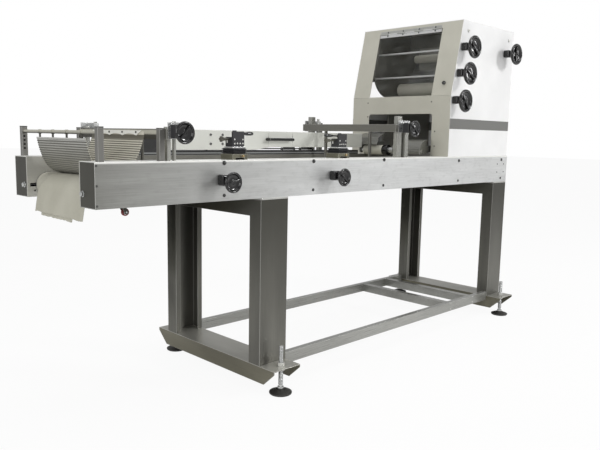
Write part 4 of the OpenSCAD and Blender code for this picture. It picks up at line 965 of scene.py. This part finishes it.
# %% [markdown]
# ### The apron
# A strip of felt lies over the end of the belt and hangs down in front of it, so that the
# dough leaves softly. It was cut by hand: the hem is ragged, a second layer shows below it,
# and the hanging part falls in broad shallow folds that deepen towards the hem. The rows are
# placed by a formula, and a fixed seed keeps the ragged hem the same on every run.

# %% The apron
def apron(name, across, down, hem, hang, stand_off, seed, cut=0.0):
    """Felt from the top of the belt, round its end and down; returns its mesh and length."""
    belt_low, belt_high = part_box("belt")
    radius = (belt_high.z - belt_low.z) / 2
    axis = Vector((belt_low.x + radius, 0, belt_high.z - radius))
    reach = radius + 0.0012 + stand_off
    chance = random.Random(seed)
    steps, columns = down, 90
    lying, bent = 0.12, 0.5
    ragged = [chance.uniform(-1, 1) for _ in range(columns + 1)]
    waves = [(chance.uniform(2, 9), chance.uniform(0, 6.28), chance.uniform(0.3, 1)) for _ in range(6)]
    bm = bmesh.new()
    rows = []
    for j in range(steps + 1):
        s = j / steps
        row = []
        for i in range(columns + 1):
            v = i / columns
            y = across[0] + v * (across[1] - across[0] - cut * max(0, 1 - s / 0.6) ** 1.3)
            edge = sum(a * math.sin(f * 6.28 * v + p) for f, p, a in waves) * 0.0007 + ragged[i] * 0.0006
            if s < lying:
                p = axis + Vector(((lying - s) / lying * 0.01, 0, reach))
            elif s < bent:
                a = (s - lying) / (bent - lying) * math.pi / 2
                p = axis + Vector((-math.sin(a), 0, math.cos(a))) * reach
            else:
                t = (s - bent) / (1 - bent)
                fold = 0.0024 * t * (1 + math.sin(v * 9.4 + 0.7)) * 0.5 + 0.0006 * t * math.sin(v * 31 + 2)
                drop = hang + (hem(v) + edge) * t
                p = axis + Vector((-reach - 0.016 * t - fold, 0, -drop * t))
            row.append(bm.verts.new((p.x, y, p.z)))
        rows.append(row)
    for one, two in zip(rows, rows[1:]):
        for i in range(columns):
            bm.faces.new((one[i], two[i], two[i + 1], one[i + 1]))
    side = [row[0].co.copy() for row in rows]
    length = sum((b - a).length for a, b in zip(side, side[1:]))
    bmesh.ops.recalc_face_normals(bm, faces=bm.faces)
    return to_mesh(bm, name, 60), length


def cloth_piece(name, mesh, thickness, replaces=()):
    obj = piece(mesh, name, "base", apron_felt, replaces)
    solid = obj.modifiers.new("thick", "SOLIDIFY")
    solid.thickness, solid.offset = thickness, 0.0
    return settle(obj)


apron_low, apron_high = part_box("cloth_apron")
width = (apron_low.y, apron_high.y)
mesh, length = apron("apron", width, 64, lambda v: 0.005 - 0.003 * v, 0.097, 0.0022, 3, cut=0.2)
over = cloth_piece("apron", mesh, 0.0015, ["cloth_apron"])
print(f"apron: {width[1] - width[0]:.3f} m wide, {length:.3f} m long")
under = (width[0] + 0.217 * (width[1] - width[0]), width[1] - 0.127 * (width[1] - width[0]))
mesh, length = apron("under_layer", under, 64, lambda v: 0.004 - 0.002 * v, 0.109, 0.0002, 8)
layer = cloth_piece("under_layer", mesh, 0.0015)
print(f"under layer: {under[1] - under[0]:.3f} m wide, {length:.3f} m long")

# %% [markdown]
# ### Bridges and the rear board
# Beyond the mat two bridges carry the pressure board over the belt, and a white board stands
# on a black rail along the rear box. Their shapes come from the CAD model. Where one node
# holds parts of different materials, such as a block with a black front and a bright rear,
# a test of where a face lies picks its finish.

# %% Bridges and rear board
block_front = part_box("bridge_blocks")[0].y + 0.0358
dress("bridge_columns", column_steel, 0.0006)
dress("bridge_crossbars", bar_steel, 0.001)
board_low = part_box("pressure_board")[0].z
dress("pressure_board", white_plastic, 0.0015,
      choose=[(hanger_steel, lambda p: p.z > board_low + 0.0165)])
dress("bridge_blocks", bright_steel, 0.0006,
      choose=[(matt_black, lambda p: p.y < block_front), (shaft_steel, lambda p: p.y > 0)])
board_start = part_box("rear_board")[0].x
dress("rear_rail", rail_black, 0.001,
      choose=[(end_steel, lambda p: p.x < board_start - 0.003 and p.z > panels[1].z + 0.04)])
dress("rear_board", board_plastic, 0.0018)
dress("board_fittings", gloss_black, 0.001)

# %% [markdown]
# ### The scalloped strip
# A white plastic strip clamps the mat to the flat bar with four screws. Its hem is lowest at
# the screws and arches between them, while the CAD strip has the arches the other way round.
# So the outline is drawn anew within the same box: a cosine gives the hem, and two copies of
# the outline, a sheet's thickness apart, are joined by a band of faces.

# %% Scalloped strip
def strip():
    """The white strip that clamps the mat: its hem is lowest at the screws and arches between them."""
    low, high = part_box("scalloped_strip")
    bays, steps, sheet = 4, 16, 0.0025
    tall, arch, inset = 0.019, 0.007, 0.012
    pitch = (high.y - low.y) / bays
    hem = [(low.y + i * pitch / steps, high.z - tall + arch * abs(math.cos(math.pi * i / steps)))
           for i in range(steps // 2, bays * steps - steps // 2 + 1)]
    outline = [(low.y + inset, high.z)] + hem + [(high.y - inset, high.z)]
    bm = bmesh.new()
    rings = [[bm.verts.new((x, y, z)) for y, z in outline] for x in (high.x - sheet, high.x)]
    bm.faces.new(rings[0])
    bm.faces.new(rings[1][::-1])
    for i in range(len(outline)):
        j = (i + 1) % len(outline)
        bm.faces.new((rings[0][i], rings[1][i], rings[1][j], rings[0][j]))
    bmesh.ops.recalc_face_normals(bm, faces=bm.faces)
    piece(to_mesh(bm, "strip"), "scalloped_strip_finished", "base", white_plastic,
          ["scalloped_strip"])
    screw_up, screw_radius = high.z - 0.0065, 0.0045
    spots = [((high.x - sheet, low.y + (i + 0.5) * pitch, screw_up), TO_FACE, screw_radius)
             for i in range(bays)]
    repeat(head_shape, spots, "strip_screws", "base", cap_steel)


strip()

# %% [markdown]
# ### Guide units
# Two guide units ride on the front box. Each is a cast saddle, a folded bellows that keeps
# flour off the column, and a black housing of a few blocks with screws in its face. The
# bellows could be one long outline with every fold drawn. Here a single fold, one unit wide
# and high, is repeated by the tree, and the stack is then scaled to the space it has.

# %% Guide units
def fold_ring():
    """One fold of a bellows, a unit square that bulges at half its height."""
    bm = bmesh.new()
    levels = [(0.0, 0.86), (0.2, 0.9), (0.42, 0.985), (0.5, 1.0), (0.58, 0.985), (0.8, 0.9), (1.0, 0.86)]
    rings = []
    for z, wide in levels:
        ring = []
        for corner, (cx, cy) in enumerate(((1, 1), (-1, 1), (-1, -1), (1, -1))):
            for k in range(5):
                a = math.pi / 2 * (corner + k / 4)
                ring.append(bm.verts.new(((cx * 0.9 + 0.1 * math.cos(a)) * wide / 2,
                                          (cy * 0.9 + 0.1 * math.sin(a)) * wide / 2, z)))
        rings.append(ring)
    for one, two in zip(rings, rings[1:]):
        for i in range(len(one)):
            j = (i + 1) % len(one)
            bm.faces.new((one[i], one[j], two[j], two[i]))
    bm.faces.new(list(reversed(rings[0])))
    bm.faces.new(rings[-1])
    obj = bpy.data.objects.new("fold_ring_shape", to_mesh(bm, "fold_ring", 50))
    bpy.context.scene.collection.objects.link(obj)
    return obj


fold_shape = fold_ring()


def guide_unit(side):
    node, saddle = "guide_housing_" + side, "guide_saddle_" + side
    body = body_of[node]
    low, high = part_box(node)
    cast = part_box(saddle)
    folds, bellows = 3, 0.023
    x, top = cast[0].x, low.z + bellows + 0.006
    front, tall, short = low.y + 0.006, 0.061, 0.039
    middle = ((low.x + high.x) / 2, (low.y + high.y) / 2)
    mesh_points = [((0, 0, i), (0, 0, 0), 1.0) for i in range(folds)]
    mesh = grow(points_object(mesh_points), repeated, {"Shape": fold_shape, "Finish": matt_black})
    mesh.transform(Matrix.Translation((*middle, low.z)) @
                   Matrix.Diagonal((high.x - low.x, high.y - low.y, bellows / folds, 1)))
    piece(mesh, "bellows_" + side, body, [matt_black])
    bm = bmesh.new()
    box_shape(bm, (x + 0.004, front, top), (x + 0.066, front + 0.008, top + tall), 0.0025)
    box_shape(bm, (x + 0.005, front + 0.006, top), (x + 0.060, high.y - 0.024, top + short), 0.002)
    box_shape(bm, (x + 0.008, front + 0.001, top + tall - 0.004),
              (x + 0.026, front + 0.0075, top + tall + 0.004), 0.0012)
    turned(bm, soften([(0, 0.006), (0.009, 0.006), (0.009, 0.0179), (0, 0.0179)], 0.001),
           (x + 0.034, front, top + tall - 0.010), (0, 1, 0), 32)
    obj = piece(to_mesh(bm, node), node + "_finished", body, matt_black, [node])
    weigh(obj)
    spots = [(0.015, 0.029), (0.057, 0.029), (0.015, 0.012), (0.029, 0.013), (0.043, 0.013), (0.057, 0.013)]
    repeat(head_shape, [((x + a, front, top + b), TO_FRONT, 0.0030) for a, b in spots],
           "housing_screws_" + side, body, white_plastic)
    bm = bmesh.new()
    box_shape(bm, (x + 0.0042, high.y - 0.039, top + 0.015),
              (x + 0.0058, high.y - 0.033, top + 0.026), 0.0005)
    piece(to_mesh(bm, "slot"), "housing_slot_" + side, body, white_plastic)
    dress(saddle, saddle_grey, 0.0012, choose=[
        (brass, lambda p: p.y < cast[0].y + 0.0088), (bright_steel, lambda p: p.z > low.z + 0.001)])


guide_unit("left")
guide_unit("right")

# %% [markdown]
# ### Clamp levers and star knobs
# A clamp lever has a round hub and an arm that swells towards its end. Both are turned on the
# lathe, about two axes that cross. A star knob has five lobes, which a lathe can't make: its
# rings are circles whose radius swings five times in a turn, small at both faces and full in
# between, and only its stem is turned.

# %% Levers and star knobs
def lever(side, way):
    node = "clamp_lever_" + side
    low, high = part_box(node)
    px = low.x + 0.009 if way > 0 else high.x - 0.009
    pz, back = low.z + 0.009, high.y
    length = back - low.y
    bm = bmesh.new()
    hub = [(0, 0), (0.005, 0), (0.005, length - 0.0097), (0.009, length - 0.0097), (0.009, length - 0.0015),
           (0.0075, length), (0, length)]
    turned(bm, soften(hub, 0.0012), (px, low.y, pz), (0, 1, 0), 32)
    middle = back - 0.0048
    arm = [(0, 0), (0.0032, 0.001), (0.0033, 0.036), (0.0042, 0.041), (0.0062, 0.052), (0.0078, 0.066),
           (0.0084, 0.080), (0.0080, 0.089), (0.0064, 0.0955), (0.0036, 0.099), (0, 0.1)]
    turned(bm, arm, (px, middle, pz), (way, 0, 0.025), 32)
    piece(to_mesh(bm, node, 45), node + "_finished", body_of[node], gloss_black, [node])


def star(side):
    node = "star_knob_" + side
    low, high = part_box(node)
    y, z = (low.y + high.y) / 2, (low.z + high.z) / 2
    bm = bmesh.new()
    rings, steps = [], 72
    radius, swing, lobes = 0.0096, 0.0024, 5
    levels = [(0.0, 0.0), (0.0, 0.55), (0.0004, 0.84), (0.002, 0.97), (0.006, 1.0), (0.011, 0.97),
              (0.0135, 0.84), (0.014, 0.5), (0.014, 0.0)]
    for depth, scale in levels:
        ring = []
        for i in range(steps):
            a = 2 * math.pi * i / steps
            r = (radius + swing * math.cos(lobes * a)) * scale
            ring.append(bm.verts.new((low.x + depth, y + r * math.cos(a), z + r * math.sin(a))))
        rings.append(ring)
    for one, two in zip(rings, rings[1:]):
        for i in range(steps):
            j = (i + 1) % steps
            bm.faces.new((one[i], one[j], two[j], two[i]))
    bmesh.ops.remove_doubles(bm, verts=bm.verts, dist=1e-6)
    length = high.x - low.x
    stem = [(0.0065, 0.0139), (0.0065, 0.032), (0.004, 0.0325), (0.004, length), (0, length)]
    turned(bm, soften(stem, 0.0005), (low.x, y, z), (1, 0, 0), 28)
    bmesh.ops.recalc_face_normals(bm, faces=bm.faces)
    piece(to_mesh(bm, node, 50), node + "_finished", body_of[node], knob_olive, [node])


lever("left", 1)
lever("right", -1)
star("left")
star("right")
print("guide units, levers and knobs")

# %% [markdown]
# ## Handwheels
# Eight glossy black handwheels set the machine. Each is a dished disc with a thick rim and a
# grip bar across the dish, on a hub, and six of them run into a square position indicator.
# The disc could be drawn once for each size. Here it is a lathe profile whose numbers are
# shares of the wheel's radius, so one profile serves both sizes.

# %% Handwheels
# Shares of the wheel's radius and of the rim's depth: the dish, the rim and the back.
DISH = [(0, 0.95), (0.10, 0.92), (0.15, 1.0), (0.17, 1.25), (0.20, 1.5), (0.27, 1.62), (0.50, 1.66),
        (0.66, 1.55), (0.735, 1.2), (0.765, 0.7), (0.79, 0.32), (0.83, 0.1), (0.88, 0.0)]
RIM = [(0.93, 0.06), (0.97, 0.3), (0.993, 0.65), (1.0, 1.0), (0.99, 1.4), (0.96, 1.75), (0.91, 1.95)]
BACK = [(0.85, 2.0), (0.80, 1.93), (0.76, 2.0), (0.60, 2.04), (0.36, 2.04), (0.30, 2.2)]


def handwheel(node, angle, hub_length):
    low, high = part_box(node)
    wheel = (high.z - low.z) / 2
    rim = wheel * 0.145
    at = ((low.x + high.x) / 2, low.y, (low.z + high.z) / 2)
    shaft = 0.006
    end = high.y - low.y
    hub = rim + hub_length
    profile = [(r * wheel, a * rim) for r, a in DISH + RIM + BACK]
    profile += [(0.27 * wheel, hub - 0.002), (0.25 * wheel, hub), (shaft, hub), (shaft, end - 0.0006),
                (shaft - 0.0006, end), (0, end)]
    bm = bmesh.new()
    turned(bm, profile, at, (0, 1, 0), 72)
    reach, half = 0.745 * wheel, 0.075 * wheel
    grip = bmesh.new()
    box_shape(grip, (-reach, 0.5 * rim, -half), (reach, 1.7 * rim, half), 0.05 * wheel)
    for vert in grip.verts:
        share = abs(vert.co.x) / reach
        vert.co.z *= 0.8 + 0.55 * share ** 2
        vert.co.y += 0.25 * rim * (1 - share ** 2)
    turn = Matrix.Translation(at) @ Matrix.Rotation(math.radians(angle), 4, "Y")
    loose = bpy.data.meshes.new("grip")
    grip.to_mesh(loose)
    grip.free()
    loose.transform(turn)
    bm.from_mesh(loose)
    return bm, at


SMALL_WHEEL, SMALL_DEPTH = 0.082, 0.0345


def black_wheel(node, angle, hub_length, pinions=False):
    """A wheel on a steel spindle, which on a bridge has two pinions."""
    low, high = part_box(node)
    bm, at = handwheel(node, angle, hub_length)
    if pinions:
        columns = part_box("bridge_columns")
        for start in (columns[0].y + 0.001, columns[1].y - 0.010):
            ring = [(0.006, 0), (0.0075, 0), (0.0075, 0.009), (0.006, 0.009)]
            turned(bm, ring, (at[0], start, at[2]), (0, 1, 0), 16)
    spindle_from = at[1] + SMALL_DEPTH * (high.z - low.z) / SMALL_WHEEL + hub_length
    for face in bm.faces:
        face.material_index = 1 if face.calc_center_median().y > spindle_from else 0
    obj = piece(to_mesh(bm, node, 50), node + "_finished", body_of[node], [gloss_black, shaft_steel],
                [node])
    print(f"{obj.name}: {len(obj.data.polygons)} faces")


HUB, BRIDGE_HUB = 0.0377, 0.0257
grip_angles = {"side_wheel_left": -20, "side_wheel_right": 40, "head_wheel_1": 40, "head_wheel_2": 30,
               "head_wheel_3": 50, "head_wheel_4": 90}
for node, angle in grip_angles.items():
    black_wheel(node, angle, HUB)
for node, angle in {"bridge_wheel_left": -50, "bridge_wheel_right": 40}.items():
    black_wheel(node, angle, BRIDGE_HUB, pinions=True)

# %% [markdown]
# A position indicator is a small gear box that the spindle runs through. Its housing could
# be two shells with a seam, but it reads as one block with well rounded sides, so that is
# what it is, with a set screw that grips the spindle.

# %% Indicators
bm = bmesh.new()
set_screws = []
for low, high in loose_parts("position_indicators"):
    box_shape(bm, low, high, 0.0085, 5)
    at = (low.x, (low.y + high.y) / 2 - 0.006, (low.z + high.z) / 2 + 0.003)
    set_screws.append((at, TO_FACE, 0.0032))
indicators = piece(to_mesh(bm, "indicators"), "position_indicators_finished", "base", gloss_black,
                   ["position_indicators"])
weigh(indicators)
repeat(head_shape, set_screws, "indicator_screws", "base", cap_steel)

# %% [markdown]
# ## The head
# White covers with a grey band close the sides, and the face is a grey-beige frame with a
# clear guard in it. The guard hangs on a long hinge; its leaves and knuckles are bare steel,
# and so they are told apart from the paint by how far they stand out of the face.

# %% Head
knee = Vector((covers[0].x, 0, panels[1].z + 0.342))
brow = Vector((covers[0].x + 0.094, 0, covers[1].z))
slope = (brow - knee).normalized()
outward = Vector((-slope.z, 0, slope.x))


def on_hinge(point):
    return point.z > knee.z and (point - knee).dot(outward) > 0.0002


dress("side_covers", white_paint, 0.0013)
dress("top_cover", white_paint, 0.001)
dress("face_frame", beige_paint, 0.0009, choose=[(leaf_steel, on_hinge)])
dress("guard_door", clear, 0.0007, choose=[(shaft_steel, on_hinge)])
dress("guard_lock", gloss_black, 0.0008)
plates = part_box("head_plates")
between = (plates[0].y + 0.079, plates[1].y - 0.0105)
dress("head_plates", inner_steel, 0.0008,
      choose=[(bright_steel, lambda p: between[0] < p.y < between[1] and plates[0].z + 0.01 < p.z < 1.58)])
dress("nose_arms", hood_steel, 0.0005)

# %% [markdown]
# ### The hinge's screws
# Four pairs of screws hold the hinge: the upper one of a pair in the frame's leaf, the lower
# one in the door's. The same head is repeated, tilted with the slope of the face. The lower
# row rides on the door, so that it turns with it.

# %% Hinge screws
ACROSS, LEAF_UP, DOOR_UP, RADIUS = (0.185, 0.300, 0.415, 0.527), 0.4065, 0.3855, 0.0042
tilt = (0, -math.pi / 2 + math.atan2(slope.x, slope.z), 0)
for name, body, up in (("leaf_screws", "base", LEAF_UP), ("door_leaf_screws", "door", DOOR_UP)):
    at = knee + slope * up + outward * 0.0032
    spots = [((at.x, panels[0].y + across, at.z), tilt, RADIUS) for across in ACROSS]
    repeat(head_shape, spots, name, body, rail_black)

# %% [markdown]
# ### The nose roller
# The roller at the nose has a bare shaft, a black collar and a beige sleeve over a part of
# its length. They could be three pieces, but they turn as one. So one mesh holds three lathe
# profiles, and the faces of each profile get a finish of their own.

# %% Nose roller
def nose():
    node = "nose_roller"
    low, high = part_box(node)
    at = ((low.x + high.x) / 2, low.y, (low.z + high.z) / 2)
    length, big = high.y - low.y, (high.z - low.z) / 2
    first = 0.008
    arm = length - 2 * first
    sleeve_from, sleeve_to = first + 0.6 * arm, first + arm - 0.031
    collar, boss = sleeve_from - 0.035, sleeve_from - 0.08
    bm = bmesh.new()
    cover = [(0.012, sleeve_from), (big - 0.002, sleeve_from), (big - 0.002, sleeve_to), (0.012, sleeve_to)]
    turned(bm, soften(cover, 0.002), at, (0, 1, 0), 64)
    cloth = set(bm.faces)
    neck, end = 0.0175, sleeve_from - 0.0002
    ring = [(neck, collar), (big, collar), (big, end), (neck, end), (neck, collar)]
    turned(bm, soften(ring, 0.002), at, (0, 1, 0), 64)
    black = set(bm.faces) - cloth
    thin, thick, near, far = 0.008, 0.011, first + 0.001, length - first - 0.001
    shaft = [(0, 0), (thin, 0), (thin, near), (thick, near), (thick, boss), (0.018, boss),
             (0.018, collar + 0.001), (thick, collar + 0.001), (thick, far), (thin, far), (thin, length),
             (0, length)]
    turned(bm, soften(shaft, 0.001), at, (0, 1, 0), 48)
    for face in bm.faces:
        face.material_index = 0 if face in cloth else 1 if face in black else 2
    piece(to_mesh(bm, node), node + "_finished", body_of[node], [sleeve, gloss_black, bright_steel],
          [node])


nose()
print("head ready")

# %% [markdown]
# ## The portrait
# The floor is pale and the background white. A camera ray, a mirror-like ray or a ray through
# the clear guard that misses the machine sees white, but the light that falls on the machine
# comes from soft lamps and a moderate sky, so that colours render about as they are written.
# The floor keeps a faint shadow because its white is mixed with its own shaded surface.

# %% Floor and sky
def seen_white(tree, mirrored):
    """1 for a ray from the camera or through the guard, and a share for a mirror-like ray."""
    path = tree.node("ShaderNodeLightPath").socket.node
    camera, through, glossy = (Wire(tree, path.outputs[f"Is {kind} Ray"])
                               for kind in ("Camera", "Transmission", "Glossy"))
    return camera.maths("MAXIMUM", camera.maths("MAXIMUM", camera, through), glossy * mirrored)


def floor():
    mesh = bpy.data.meshes.new("floor")
    size = 40.0
    corners = [(-size, -size, 0), (size, -size, 0), (size, size, 0), (-size, size, 0)]
    mesh.from_pydata(corners, [], [(0, 1, 2, 3)])
    obj = bpy.data.objects.new("floor", mesh)
    bpy.context.scene.collection.objects.link(obj)
    material = bpy.data.materials.new("floor")
    material.use_nodes = True
    tree = Tree(material.node_tree)
    seen = seen_white(tree, 0.3)
    shaded = tree.node("ShaderNodeBsdfDiffuse", None, {"Color": (0.82, 0.82, 0.81, 1)})
    white = tree.node("ShaderNodeEmission", None, {"Color": (1, 1, 1, 1), "Strength": 1.0})
    both = tree.node("ShaderNodeMixShader", None, {0: seen * 0.93, 1: shaded, 2: white})
    tree.node("ShaderNodeOutputMaterial", None, {0: both})
    mesh.materials.append(material)


def sky(strength):
    world = bpy.data.worlds.new("studio")
    bpy.context.scene.world = world
    world.use_nodes = True
    tree = Tree(world.node_tree)
    level = seen_white(tree, 0.1) * (1 - strength) + strength
    light = tree.node("ShaderNodeBackground", None, {"Color": (1, 1, 1, 1), "Strength": level})
    tree.node("ShaderNodeOutputWorld", None, {0: light})


floor()
sky(0.48)
print("floor and sky ready")

# %% [markdown]
# ### Lamps
# The photograph shows broad soft highlights and no hard shadow, as from large soft boxes. A
# key lamp stands high at the front right, and a small one beside it puts a glint on the
# wheels. A wide lamp overhead lights the belt, and another at the discharge end fills the
# shadows. A picture of a studio could light the scene too, but lamps can be moved one by one.

# %% Lamps
def lamp(name, place, target, size, power):
    data = bpy.data.lights.new(name, "AREA")
    data.shape, data.size, data.energy = "SQUARE", size, power
    obj = bpy.data.objects.new(name, data)
    obj.location = place
    obj.rotation_euler = (Vector(target) - Vector(place)).to_track_quat("-Z", "Y").to_euler()
    bpy.context.scene.collection.objects.link(obj)
    print(f"lamp {name}: {power} W")


lamp("key", (3.2, -5.2, 3.6), (0.3, 0, 0.8), 1.2, 138)
lamp("glint", (5.0, -3.4, 1.9), (1.0, -0.3, 1.3), 0.5, 10)
lamp("top", (0.0, -0.6, 5.0), (0.0, 0, 0.8), 3.5, 80)
lamp("fill", (-5.5, -1.5, 2.4), (-0.4, 0, 0.9), 3.0, 80)

# %% [markdown]
# ### The camera
# The camera stands where the photograph was taken from. Its place, its turn and its lens were
# solved from edges that are parallel on the machine. A constraint could aim it at a point,
# but it would keep the horizon level, and the photograph has a roll of about one degree. So
# the three directions of the camera are reckoned from yaw, pitch and roll.

# %% Camera
camera = bpy.data.cameras.new("camera")
camera.lens, camera.sensor_width = 38.91, 36.0
eye = bpy.data.objects.new("camera", camera)
yaw, pitch, roll = (math.radians(a) for a in (45.01, -7.80, 1.11))
forward = Vector((math.cos(yaw) * math.cos(pitch), math.sin(yaw) * math.cos(pitch), math.sin(pitch)))
level_right = Vector((math.sin(yaw), -math.cos(yaw), 0))
level_up = level_right.cross(forward)
right = level_right * math.cos(roll) + level_up * math.sin(roll)
up = level_up * math.cos(roll) - level_right * math.sin(roll)
standpoint = Matrix.Translation((-2.44976, -2.35738, 1.11117))
eye.matrix_world = standpoint @ Matrix((right, up, -forward)).transposed().to_4x4()
bpy.context.scene.collection.objects.link(eye)
bpy.context.scene.camera = eye
bpy.context.scene.view_settings.view_transform = "Standard"
print("lens", round(camera.lens, 2), "mm, eye", round(eye.matrix_world.translation.z, 2), "m over the floor")

# %% [markdown]
# ## The end
# The shapes used only for repeating are taken away.

# %% Finish
for shape in (head_shape, fold_shape):
    bpy.data.objects.remove(shape)
